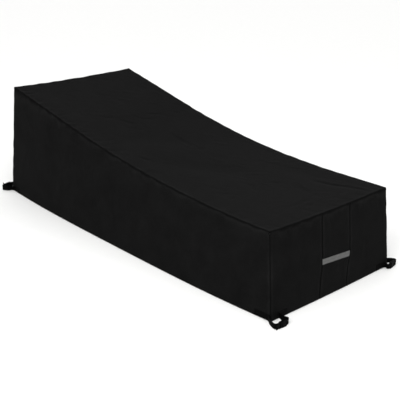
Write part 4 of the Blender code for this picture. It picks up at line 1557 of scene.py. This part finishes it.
@dataclass(frozen=True)
class Corner:
    """A corner's strap loop: where its buckle stands and how its straps run."""

    name: str
    end: int                # outward signs along X and Y
    side: int
    reach: float            # how far the plug stands out from the end of the cover
    overhang: float         # and past its side
    turn: float             # turn of the buckle towards the end, in degrees
    leaving: float          # distance from the corner where the free strap leaves the side
    landing: float          # and where the fixed strap leaves the end
    ways: tuple[Way, ...]
    tail: Tail
    fixed_bend: tuple[Near, ...]
    patch_rise: float = 0.0180
    loop_rise: float = 0.0172
    web_gap: float = 0.0006
    lead_swing: float = 0.006
    up_step: float = 0.01           # share of the drop over which the wall's rise is taken

    @property
    def ahead(self) -> Vector:
        """Level direction from the plug's bar to the socket's."""
        turn = math.radians(self.turn)
        return Vector((-self.end * math.sin(turn), -self.side * math.cos(turn), 0))

    @property
    def out(self) -> Vector:
        """Level direction square to the buckle, away from the cover."""
        turn = math.radians(self.turn)
        return Vector((self.end * math.cos(turn), -self.side * math.sin(turn), 0))

    @property
    def along(self) -> float:
        """Share along the cover of this corner's end."""
        return 0.0 if self.end < 0 else 1.0

    def on_wall(self, on_side: bool, distance: float, lift: float) -> Spot:
        """Centre of webbing that lies on the cloth by the hem.

        Args:
            on_side: on the long side, and otherwise on the end.
            distance: its distance from the corner.
            lift: how far it stands off the cloth.

        Returns:
            The spot.
        """
        if on_side:
            wall = Wall.FAR if self.side > 0 else Wall.NEAR
            share = distance / SHAPE.hem_length
            first = share if self.end < 0 else 1.0 - share
        else:
            wall = Wall.FOOT if self.end > 0 else Wall.HEAD
            share = distance / (SHAPE.top_width + 2.0 * SHAPE.corner_flare(self.along))
            first = share if self.side < 0 else 1.0 - share
        height = SHAPE.spot(wall, first, 0.0)[0].z - HEM_LIFT
        down = 1.0 - (self.patch_rise - HEM_LIFT) / height
        place, normal = SHAPE.spot(wall, first, down)
        up = (SHAPE.spot(wall, first, down - self.up_step)[0] - place).normalized()
        web = Webbing()
        return Spot(place + normal * (self.web_gap + 0.5 * web.thick + lift), up)

    def off_hem(self, out: float, past: float, rise: float) -> Spot:
        """Point of the loop, measured from the hem's corner.

        Args:
            out: distance out from the end of the cover.
            past: distance past its side.
            rise: height over the floor.

        Returns:
            The spot.
        """
        side_y = 0.5 * SHAPE.top_width + SHAPE.corner_flare(self.along)
        return Spot(Vector((self.end * (0.5 * SHAPE.hem_length + out),
                            self.side * (side_y + past), rise)), UP)

    def near_bar(self, tip: Vector, ahead: Vector, bend: Sequence[Near]) -> list[Spot]:
        """Webbing's bend before a buckle bar."""
        return [Spot(tip - ahead * near.back - self.out * near.inwards, UP) for near in bend]

    def free_path(self, web: Webbing, buckle: Buckle) -> list[Spot]:
        """Way of the free strap from the side, round the plug's bar to its free end.

        Args:
            web: the webbing.
            buckle: the buckle that it is threaded through.

        Returns:
            Spots of its centre line.
        """
        tip = self.off_hem(self.reach, self.overhang, buckle.rise).place
        ahead = self.ahead
        bar = tip + ahead * (0.5 * web.bar)
        spots = [self.on_wall(True, self.leaving + step, lift) for step, lift in FREE_STEPS]
        spots += [self.off_hem(way.out, way.past, self.loop_rise) for way in self.ways]
        spots += self.near_bar(tip, ahead, self.tail.bend)
        face = self.out * self.tail.face
        turn = web.round_bar(bar, ahead, -face)
        end = [Spot(bar - ahead * lay.back + face * lay.off + UP * lay.rise, UP)
               for lay in self.tail.lays]
        return web.smooth(spots + turn[:1]) + turn[1:] + web.smooth([turn[-1]] + end)[1:]

    def fixed_path(self, web: Webbing, buckle: Buckle) -> list[Spot]:
        """Way of the fixed strap from the end of the cover, round the socket's bar.

        Args:
            web: the webbing.
            buckle: the buckle that it holds.

        Returns:
            Spots of its centre line.
        """
        tip = self.off_hem(self.reach, self.overhang, buckle.rise).place
        tip = tip + self.ahead * buckle.length
        ahead = -self.ahead
        bar = tip + ahead * (0.5 * web.bar)
        spots = [self.on_wall(False, self.landing + step, lift) for step, lift in FIXED_STEPS]
        bend = self.near_bar(tip, ahead, self.fixed_bend)
        middle = mix(spots[-1].place, bend[0].place, 0.5)
        middle = middle + Vector((0, self.side * self.lead_swing, 0))
        spots += [Spot(middle, UP)] + bend
        turn = web.round_bar(bar, ahead, self.out)
        end = [Spot(bar - ahead * lay.back - self.out * lay.off + UP * lay.rise, UP)
               for lay in SEWN_END]
        return web.smooth(spots + turn[:1]) + turn[1:] + web.smooth([turn[-1]] + end)[1:]


CORNERS = [
    Corner("foot_near", 1, -1, 0.058, 0.015, 0.0, 0.030, 0.046,
           (Way(-0.010, 0.006), Way(0.0165, 0.024)), LOW_TAIL, FIXED_BEND),
    Corner("foot_far", 1, 1, 0.020, 0.023, -6.0, 0.044, 0.040,
           (Way(-0.026, 0.008), Way(-0.016, 0.020), Way(-0.006, 0.032)), LEANING_TAIL, TIGHT_BEND),
    Corner("head_near", -1, -1, 0.037, 0.029, -12.0, 0.030, 0.030,
           (Way(-0.014, 0.010), Way(-0.010, 0.026), Way(0.001, 0.039)), RAISED_TAIL, TIGHT_BEND),
    Corner("head_far", -1, 1, 0.053, 0.016, 8.0, 0.034, 0.050,
           (Way(-0.013, 0.009), Way(0.012, 0.026)), LOW_TAIL, FIXED_BEND),
]


@dataclass
class StrapLoop:
    """One corner's two straps, their stitching and their buckle."""

    corner: Corner
    web: Webbing
    buckle: Buckle
    webbing: bpy.types.Material
    thread: bpy.types.Material
    plastic: bpy.types.Material
    rounding: float = 0.00045
    round_angle: float = 50.0
    box_start: float = 0.003        # the box of stitches along the strap
    box_end: float = 0.030
    box_half: float = 0.4           # and across it, as a share of the width

    def strap(self, kind: str, path: Sequence[Spot], rests: str) -> bpy.types.Object:
        """Make one strap and the box of stitches that sews it to the cover.

        Args:
            kind: free or fixed.
            path: its centre line.
            rests: the cloth that it is sewn to; not used.

        Returns:
            The strap.
        """
        name = "strap_%s_%s" % (kind, self.corner.name)
        mesh, length = self.web.ribbon(name + "_webbing", path)
        piece = add_piece(name + "_webbing", mesh, self.webbing, [name])
        thicken(piece, self.web.thick, 0.0)
        round_edges(piece, self.rounding, self.round_angle)
        near, far, half = self.box_start, self.box_end, self.box_half
        box = [[(near, -half), (far, -half), (far, half), (near, half), (near, -half)],
               [(near, -half), (far, half)], [(near, half), (far, -half)]]
        inside = -path[0].place
        ahead = (path[1].place - path[0].place).normalized()
        face = -1 if ahead.cross(path[0].up).dot(inside) > 0 else 1
        lines = self.web.stitches(path, box, face)
        thread = Stitching(pitch=0.0036, length=0.0027)
        stitches = add_piece(name + "_stitches", thread.rows(name + "_stitches", lines),
                             self.thread)
        return piece

    def socket_details(self, bm: bmesh.types.BMesh) -> None:
        """Raised oval pad on each broad face of the socket."""
        self.pads(bm, ahead=0.0150, off=0.0055, broad=0.0055, long=0.0062)

    def plug_details(self, bm: bmesh.types.BMesh) -> None:
        """Three grip ribs on each broad face of the plug's base."""
        for step in (-1, 0, 1):
            self.pads(bm, ahead=0.0320 + 0.0022 * step, off=0.0045, broad=0.0045, long=0.0007)

    def pads(self, bm: bmesh.types.BMesh, ahead: float, off: float, broad: float,
             long: float) -> None:
        """Low pads moulded on both broad faces.

        Args:
            bm: mesh of the half.
            ahead: their place along the buckle, from the socket's bar.
            off: distance of the faces from the buckle's middle.
            broad: their half width.
            long: their half length.
        """
        corner = self.corner
        tip = corner.off_hem(corner.reach, corner.overhang, self.buckle.rise).place
        start = tip + corner.ahead * self.buckle.length
        along = -corner.ahead
        for face in (-1, 1):
            side = corner.out * face
            sizes = (along * long, side * self.buckle.pad_height, UP * broad)
            turn = Matrix(sizes).transposed().to_4x4()
            centre = start + along * ahead + side * off
            bmesh.ops.create_uvsphere(bm, u_segments=20, v_segments=10, radius=1.0,
                                      matrix=Matrix.Translation(centre) @ turn)

    def build(self) -> None:
        """Make the loop's pieces."""
        corner = self.corner
        hand = "far" if corner.side > 0 else "near"
        side = "cloth_side_" + hand
        end = "cloth_foot_" + hand if corner.end > 0 else "cloth_head"
        self.strap("free", corner.free_path(self.web, self.buckle), side)
        self.strap("fixed", corner.fixed_path(self.web, self.buckle), end)
        self.buckle.dress("buckle_socket_" + corner.name, self.plastic, self.socket_details)
        self.buckle.dress("buckle_plug_" + corner.name, self.plastic, self.plug_details)


# ---- finishes --------------------------------------------------------------
PER_WAVE = 2.0 * math.pi / 20.0     # Blender's wave bands repeat at 2 pi / 20 of a unit


def new_material(name: str) -> tuple[bpy.types.NodeTree, bpy.types.Node, bpy.types.Material]:
    """Make an empty node material.

    Args:
        name: its name.

    Returns:
        Its node tree, its shader and the material itself.
    """
    material = bpy.data.materials.new(name)
    material.use_nodes = True
    tree = material.node_tree
    return tree, tree.nodes["Principled BSDF"], material


def weave_height(tree: bpy.types.NodeTree, pitch_long: float, pitch_cross: float,
                 where: bpy.types.NodeSocket) -> bpy.types.NodeSocket:
    """Height of a plain weave: long and cross threads that pass over each other in turn.

    Args:
        tree: node tree of the material.
        pitch_long: spacing of the threads that run along the map's first axis.
        pitch_cross: spacing of those that cross them.
        where: the map's socket.

    Returns:
        A height from 0 to 1.
    """
    cross = add_node(tree, "ShaderNodeTexWave", {
        "Vector": where, "Scale": PER_WAVE / pitch_cross, "Distortion": 0.0}, wave_type="BANDS",
        bands_direction="X", wave_profile="SIN")
    along = add_node(tree, "ShaderNodeTexWave", {
        "Vector": where, "Scale": PER_WAVE / pitch_long, "Distortion": 0.0}, wave_type="BANDS",
        bands_direction="Y", wave_profile="SIN")
    stretch = add_node(tree, "ShaderNodeMapping", {
        "Vector": where, "Scale": (1.0 / pitch_cross, 1.0 / pitch_long, 0.0)})
    over = add_node(tree, "ShaderNodeTexChecker", {"Vector": stretch.outputs[0], "Scale": 1.0})
    height = add_node(tree, "ShaderNodeMix", {
        "Factor": over.outputs["Fac"], "A": cross.outputs["Fac"], "B": along.outputs["Fac"]})
    return height.outputs["Result"]


@dataclass(frozen=True)
class CoatedOxford:
    """Black 600-denier polyester Oxford, piece-dyed and coated inside.

    The eye sees a dull black cloth with a fine basket weave, slightly mottled
    where it has been folded, with painted shadow darkening it in the seams and a
    pale band beside them that is partly wear and partly painted highlight, with a
    faint sheen at a low angle.
    """

    deep: str = "#0b0b0b"
    pale: str = "#111111"
    # pale colour beside seams and along the hem: wear and dust, and a painted highlight beside the
    # seams
    dust_and_highlight: str = "#1b1b1b"
    # painted shadow colour that the cloth is darkened to in the seams' rolled-in grooves
    seam: str = "#070707"
    thread_pitch: float = 0.0022        # threads 0.55 mm apart, drawn four times as coarse
    weave_depth: float = 0.00022
    rough: float = 0.72
    specular: float = 0.02

    def material(self) -> bpy.types.Material:
        """Build the finish.

        Returns:
            The material.
        """
        tree, shader, made = new_material("coated_polyester_oxford")
        weave = add_node(tree, "ShaderNodeUVMap", uv_map="weave").outputs["UV"]
        place = add_node(tree, "ShaderNodeTexCoord").outputs["Object"]
        height = weave_height(tree, self.thread_pitch, self.thread_pitch, weave)
        # Broad mottling, a hand's width across, and finer flecks of a few millimetres.
        broad = add_node(tree, "ShaderNodeTexNoise", {
            "Vector": place, "Scale": 9.0, "Detail": 5.0, "Roughness": 0.62})
        flecks = add_node(tree, "ShaderNodeTexNoise", {
            "Vector": place, "Scale": 160.0, "Detail": 2.0, "Roughness": 0.5})
        both = add_node(tree, "ShaderNodeMix", {
            "Factor": 0.3, "A": broad.outputs["Fac"], "B": flecks.outputs["Fac"]})
        mottle = add_node(tree, "ShaderNodeMapRange", {
            "Value": both.outputs["Result"], "From Min": 0.36, "From Max": 0.64})
        base = add_node(tree, "ShaderNodeMix", {
            "Factor": mottle.outputs["Result"], "A": linear(self.deep), "B": linear(self.pale)},
            data_type="RGBA")
        threads = add_node(tree, "ShaderNodeMapRange", {
            "Value": height, "To Min": 0.78, "To Max": 1.15})
        woven = add_node(tree, "ShaderNodeMix", {
            "Factor": 1.0, "A": base.outputs["Result"], "B": threads.outputs["Result"]},
            data_type="RGBA", blend_type="MULTIPLY")
        seam = add_node(tree, "ShaderNodeAttribute", attribute_name="seam").outputs["Fac"]
        hem = add_node(tree, "ShaderNodeAttribute", attribute_name="hem").outputs["Fac"]
        # Pale band from 5 to 20 mm beside a seam, partly wear and dust and partly a painted
        # highlight on the raised edge there, and worn along the hem.
        worn = add_node(tree, "ShaderNodeValToRGB", {"Fac": seam})
        self.ramp(worn, ((0.0, 0.0), (0.0050, 0.0), (0.0085, 0.60), (0.013, 0.35), (0.021, 0.0)))
        hem_worn = add_node(tree, "ShaderNodeMapRange", {
            "Value": hem, "From Min": 0.010, "From Max": 0.0, "To Max": 0.25})
        worn_and_highlit_all = add_node(tree, "ShaderNodeMath", {
            0: worn.outputs["Color"], 1: hem_worn.outputs["Result"]}, operation="MAXIMUM")
        worn_and_highlit_share = add_node(tree, "ShaderNodeMath", {
            0: worn_and_highlit_all.outputs[0], 1: mottle.outputs["Result"]}, operation="MULTIPLY")
        dusty_and_highlit = add_node(tree, "ShaderNodeMix", {
            "Factor": worn_and_highlit_share.outputs[0], "A": woven.outputs["Result"], "B": linear(self.dust_and_highlight)},
            data_type="RGBA")
        # Painted shadow: within 8.5 mm of a seam the colour is darkened towards the seam colour,
        # where shade falls in the rolled-in groove.
        dark = add_node(tree, "ShaderNodeMapRange", {
            "Value": seam, "From Min": 0.0085, "From Max": 0.0010},
            interpolation_type="SMOOTHSTEP")
        sewn = add_node(tree, "ShaderNodeMix", {
            "Factor": dark.outputs["Result"], "A": dusty_and_highlit.outputs["Result"],
            "B": linear(self.seam)}, data_type="RGBA")
        gloss = add_node(tree, "ShaderNodeMapRange", {
            "Value": both.outputs["Result"], "From Min": 0.3, "From Max": 0.7,
            "To Min": self.rough - 0.06, "To Max": self.rough + 0.08})
        # Crumples too small for the sheet's own mesh, one to three centimetres across.
        crumple = add_node(tree, "ShaderNodeTexNoise", {
            "Vector": place, "Scale": 38.0, "Detail": 3.0, "Roughness": 0.55, "Distortion": 0.6})
        soft = add_node(tree, "ShaderNodeBump", {
            "Height": crumple.outputs["Fac"], "Distance": 0.0016, "Strength": 0.6})
        fine = add_node(tree, "ShaderNodeBump", {
            "Height": height, "Strength": 0.7, "Distance": self.weave_depth,
            "Normal": soft.outputs["Normal"]})
        fill(tree, shader, {
            "Base Color": sewn.outputs["Result"], "Roughness": gloss.outputs["Result"],
            "Normal": fine.outputs["Normal"], "IOR": 1.45, "Specular IOR Level": self.specular,
            "Sheen Weight": 0.003, "Sheen Roughness": 0.4})
        return made

    def ramp(self, node: bpy.types.Node, stops: Sequence[tuple[float, float]]) -> None:
        """Set a ramp's stops.

        Args:
            node: the ramp.
            stops: distances of up to a metre, each with its value.
        """
        points = node.color_ramp.elements
        points[0].position, points[0].color = stops[0][0], (stops[0][1],) * 3 + (1.0,)
        points[1].position, points[1].color = stops[-1][0], (stops[-1][1],) * 3 + (1.0,)
        for position, value in stops[1:-1]:
            points.new(position).color = (value,) * 3 + (1.0,)


@dataclass(frozen=True)
class WovenWebbing:
    """Narrow woven webbing, with ribs along it and a weft that crosses them.

    The eye sees close parallel ribs, a small chevron where the weft shows
    between them, and a soft satin gloss on the ribs' crowns.
    """

    name: str
    dark: str
    light: str
    rib_pitch: float                # real ribs are about 1.2 mm apart, drawn coarser
    weft_pitch: float
    rough: float
    specular: float
    depth: float = 0.0003

    def material(self) -> bpy.types.Material:
        """Build the finish.

        Returns:
            The material.
        """
        tree, shader, made = new_material(self.name)
        weave = add_node(tree, "ShaderNodeUVMap", uv_map="weave").outputs["UV"]
        height = weave_height(tree, self.rib_pitch, self.weft_pitch, weave)
        place = add_node(tree, "ShaderNodeTexCoord").outputs["Object"]
        noise = add_node(tree, "ShaderNodeTexNoise", {
            "Vector": place, "Scale": 70.0, "Detail": 3.0, "Roughness": 0.6})
        blend = add_node(tree, "ShaderNodeMix", {
            "Factor": 0.45, "A": height, "B": noise.outputs["Fac"]})
        shade = add_node(tree, "ShaderNodeMix", {
            "Factor": blend.outputs["Result"], "A": linear(self.dark), "B": linear(self.light)},
            data_type="RGBA")
        gloss = add_node(tree, "ShaderNodeMapRange", {
            "Value": height, "To Min": self.rough + 0.08, "To Max": self.rough})
        bump = add_node(tree, "ShaderNodeBump", {
            "Height": height, "Strength": 0.9, "Distance": self.depth})
        fill(tree, shader, {
            "Base Color": shade.outputs["Result"], "Roughness": gloss.outputs["Result"],
            "Normal": bump.outputs["Normal"], "IOR": 1.49, "Specular IOR Level": self.specular})
        return made


@dataclass(frozen=True)
class MouldedAcetal:
    """Black acetal, injection moulded in a lightly blasted tool.

    The eye sees an even satin black with a very fine grain and softly rubbed,
    slightly glossier places.
    """

    base: str = "#030303"
    rubbed: str = "#070708"
    grain: float = 0.0006               # the tool's 0.1 mm grain, drawn coarser
    rough: float = 0.44

    def material(self) -> bpy.types.Material:
        """Build the finish.

        Returns:
            The material.
        """
        tree, shader, made = new_material("moulded_black_acetal")
        place = add_node(tree, "ShaderNodeTexCoord").outputs["Object"]
        grain = add_node(tree, "ShaderNodeTexNoise", {
            "Vector": place, "Scale": 1.0 / self.grain, "Detail": 2.0})
        rub = add_node(tree, "ShaderNodeTexNoise", {
            "Vector": place, "Scale": 120.0, "Detail": 4.0, "Roughness": 0.7})
        worn = add_node(tree, "ShaderNodeMapRange", {
            "Value": rub.outputs["Fac"], "From Min": 0.45, "From Max": 0.7})
        shade = add_node(tree, "ShaderNodeMix", {
            "Factor": worn.outputs["Result"], "A": linear(self.base), "B": linear(self.rubbed)},
            data_type="RGBA")
        gloss = add_node(tree, "ShaderNodeMapRange", {
            "Value": rub.outputs["Fac"], "To Min": self.rough + 0.08, "To Max": self.rough - 0.06})
        bump = add_node(tree, "ShaderNodeBump", {
            "Height": grain.outputs["Fac"], "Strength": 0.25, "Distance": 0.0001})
        fill(tree, shader, {
            "Base Color": shade.outputs["Result"], "Roughness": gloss.outputs["Result"],
            "Normal": bump.outputs["Normal"], "IOR": 1.48, "Specular IOR Level": 0.02})
        return made


@dataclass(frozen=True)
class SewingThread:
    """Bonded polyester thread, twisted: a finer, slightly glossier black than the cloth."""

    dark: str = "#090909"
    light: str = "#161616"
    twist: float = 0.0011               # one turn of the thread's twist

    def material(self) -> bpy.types.Material:
        """Build the finish.

        Returns:
            The material.
        """
        tree, shader, made = new_material("bonded_polyester_thread")
        place = add_node(tree, "ShaderNodeTexCoord").outputs["Object"]
        twist = add_node(tree, "ShaderNodeTexWave", {
            "Vector": place, "Scale": PER_WAVE / self.twist, "Distortion": 1.5}, wave_type="BANDS",
            bands_direction="DIAGONAL")
        shade = add_node(tree, "ShaderNodeMix", {
            "Factor": twist.outputs["Fac"], "A": linear(self.dark), "B": linear(self.light)},
            data_type="RGBA")
        bump = add_node(tree, "ShaderNodeBump", {
            "Height": twist.outputs["Fac"], "Strength": 0.5, "Distance": 0.0002})
        fill(tree, shader, {
            "Base Color": shade.outputs["Result"], "Roughness": 0.5,
            "Normal": bump.outputs["Normal"], "Specular IOR Level": 0.05})
        return made


@dataclass(frozen=True)
class PaperSweep:
    """Matt white paper under the object, as in a plain studio."""

    colour: str = "#f2f2f1"
    fibre: str = "#eeeeed"

    def material(self) -> bpy.types.Material:
        """Build the finish.

        Returns:
            The material.
        """
        tree, shader, made = new_material("matt_white_paper")
        place = add_node(tree, "ShaderNodeTexCoord").outputs["Object"]
        noise = add_node(tree, "ShaderNodeTexNoise", {
            "Vector": place, "Scale": 14.0, "Detail": 6.0})
        shade = add_node(tree, "ShaderNodeMix", {
            "Factor": noise.outputs["Fac"], "A": linear(self.colour), "B": linear(self.fibre)},
            data_type="RGBA")
        fill(tree, shader, {
            "Base Color": shade.outputs["Result"], "Roughness": 0.9, "Specular IOR Level": 0.1})
        return made


# ---- studio ----------------------------------------------------------------
@dataclass(frozen=True)
class Studio:
    """Pale floor, soft lights and the camera."""

    azimuth: float = 46.16
    elevation: float = 21.16
    roll: float = 1.90
    distance: float = 4.272
    lens: float = 71.3
    sensor: float = 36.0
    sight: float = 200.0
    target: tuple[float, float, float] = (-0.009, 0.127, 0.102)
    floor_size: float = 60.0
    sky: float = 1.12
    key_power: float = 80.0
    key_size: float = 2.2
    key_place: tuple[float, float, float] = (1.85, -2.4, 2.6)
    key_aim: tuple[float, float, float] = (0.2, 0.0, 0.3)

    def camera(self) -> None:
        """Place the camera."""
        data = bpy.data.cameras.new("camera")
        data.lens, data.sensor_width, data.clip_end = self.lens, self.sensor, self.sight
        camera = link("camera", data)
        turn, lift = math.radians(self.azimuth), math.radians(self.elevation)
        back = Vector((math.sin(turn) * math.cos(lift), -math.cos(turn) * math.cos(lift),
                       math.sin(lift)))
        view = (-back).to_track_quat("-Z", "Y").to_matrix().to_4x4()
        tilt = Matrix.Rotation(math.radians(self.roll), 4, "Z")
        place = Vector(self.target) + back * self.distance
        camera.matrix_world = Matrix.Translation(place) @ view @ tilt
        bpy.context.scene.camera = camera

    def floor(self) -> None:
        """Lay the paper floor."""
        bm = bmesh.new()
        bmesh.ops.create_grid(bm, x_segments=2, y_segments=2, size=0.5 * self.floor_size)
        mesh = mesh_of("floor", bm)
        mesh.materials.append(PaperSweep().material())
        floor = link("floor", mesh)

    def lights(self) -> None:
        """Hang the soft lights."""
        world = bpy.data.worlds.new("studio")
        world.use_nodes = True
        sky = world.node_tree.nodes["Background"]
        sky.inputs["Color"].default_value = (1.0, 1.0, 1.0, 1.0)
        sky.inputs["Strength"].default_value = self.sky
        bpy.context.scene.world = world
        data = bpy.data.lights.new("key", "AREA")
        data.shape, data.size, data.energy = "SQUARE", self.key_size, self.key_power
        key = link("key", data)
        place = Vector(self.key_place)
        turn = (Vector(self.key_aim) - place).to_track_quat("-Z", "Y").to_matrix().to_4x4()
        key.matrix_world = Matrix.Translation(place) @ turn

    def build(self) -> None:
        """Set up the whole studio."""
        self.camera()
        self.floor()
        self.lights()
        bpy.context.scene.view_settings.view_transform = "Standard"


# ---- the whole cover -------------------------------------------------------
def cloth_panels() -> list[tuple[Panel, tuple[Rim, ...]]]:
    """The cut pieces of cloth, and the edges whose top stitching each carries.

    Returns:
        Each piece with its stitched edges.
    """
    start, finish, upper, lower = Rim.START, Rim.FINISH, Rim.UPPER, Rim.LOWER
    top = Panel("cloth_top", "top_panel", Wall.TOP,
                {start: "top_head", finish: "top_foot", upper: "top_near", lower: "top_far"},
                {start: Puckers(31, (0.05, 0.10), 0.0016, 0.014),
                 finish: Puckers(32, (0.06, 0.12), 0.0010, 0.014),
                 upper: Puckers(33, (0.04, 0.08), 0.0022, 0.018, strong_until=1.0),
                 lower: Puckers(34, (0.06, 0.12), 0.0014, 0.012)}, pitch=0.0068)
    near = Panel("cloth_side_near", "side_near", Wall.NEAR,
                 {start: "head_near", finish: "foot_near", upper: "top_near"},
                 {start: Puckers(41, (0.05, 0.09), 0.0018, 0.014),
                  finish: Puckers(42, (0.05, 0.09), 0.0014, 0.014),
                  upper: Puckers(43, (0.05, 0.10), 0.0024, 0.011, strong_until=1.1)})
    far = Panel("cloth_side_far", "side_far", Wall.FAR,
                {start: "head_far", finish: "foot_far", upper: "top_far"},
                {start: Puckers(51, (0.05, 0.09), 0.0018, 0.014),
                 finish: Puckers(52, (0.05, 0.09), 0.0014, 0.014),
                 upper: Puckers(53, (0.06, 0.10), 0.0026, 0.018, strong_until=1.1)})
    head = Panel("cloth_head", "head_end", Wall.HEAD,
                 {start: "head_near", finish: "head_far", upper: "top_head"},
                 {start: Puckers(61, (0.05, 0.09), 0.0016, 0.014),
                  finish: Puckers(62, (0.05, 0.09), 0.0016, 0.014),
                  upper: Puckers(63, (0.06, 0.10), 0.0024, 0.018)})
    foot_near = Panel("cloth_foot_near", "foot_end_near", Wall.FOOT,
                      {start: "foot_near", finish: "strip_near", upper: "top_foot"},
                      {start: Puckers(71, (0.05, 0.09), 0.0012, 0.012),
                       finish: Puckers(72, (0.05, 0.09), 0.0012, 0.010),
                       upper: Puckers(73, (0.06, 0.10), 0.0014, 0.014)},
                      None, STRIP.near, 0.007)
    strip = Panel("cloth_foot_strip", "foot_strip", Wall.FOOT,
                  {start: "strip_near", finish: "strip_far", upper: "top_foot"},
                  {upper: Puckers(74, (0.04, 0.07), 0.0014, 0.014)},
                  STRIP.near, STRIP.far, 0.006)
    foot_far = Panel("cloth_foot_far", "foot_end_far", Wall.FOOT,
                     {start: "strip_far", finish: "foot_far", upper: "top_foot"},
                     {start: Puckers(75, (0.05, 0.09), 0.0012, 0.010),
                      finish: Puckers(76, (0.05, 0.09), 0.0014, 0.012),
                      upper: Puckers(77, (0.05, 0.09), 0.0018, 0.016)},
                     STRIP.far, None, 0.007)
    return [(top, (start, finish, upper, lower)), (near, (start, finish)), (far, (start, finish)),
            (head, ()), (foot_near, (finish,)), (strip, ()), (foot_far, (start,))]


def main() -> None:
    """Build the cover's pieces, its finishes and the studio."""
    logging.basicConfig(level=logging.INFO, format="%(message)s")
    Studio().build()
    cloth = CoatedOxford().material()
    thread = SewingThread().material()
    band = WovenWebbing("grey_polyester_webbing", "#3d3d3d", "#6a6a69", rib_pitch=0.0032,
                        weft_pitch=0.0026, rough=0.62, specular=0.15).material()
    strap = WovenWebbing("black_polypropylene_webbing", "#020202", "#090909", rib_pitch=0.0026,
                         weft_pitch=0.0020, rough=0.55, specular=0.015).material()
    plastic = MouldedAcetal().material()
    panels = {}
    for panel, stitched in cloth_panels():
        ClothPiece(panel, cloth, thread, stitched).build()
        panels[panel.node] = panel
    FootBand().build(panels["foot_strip"], band, thread)
    for corner in CORNERS:
        StrapLoop(corner, Webbing(), Buckle(), strap, thread, plastic).build()


if __name__ == "__main__":
    main()
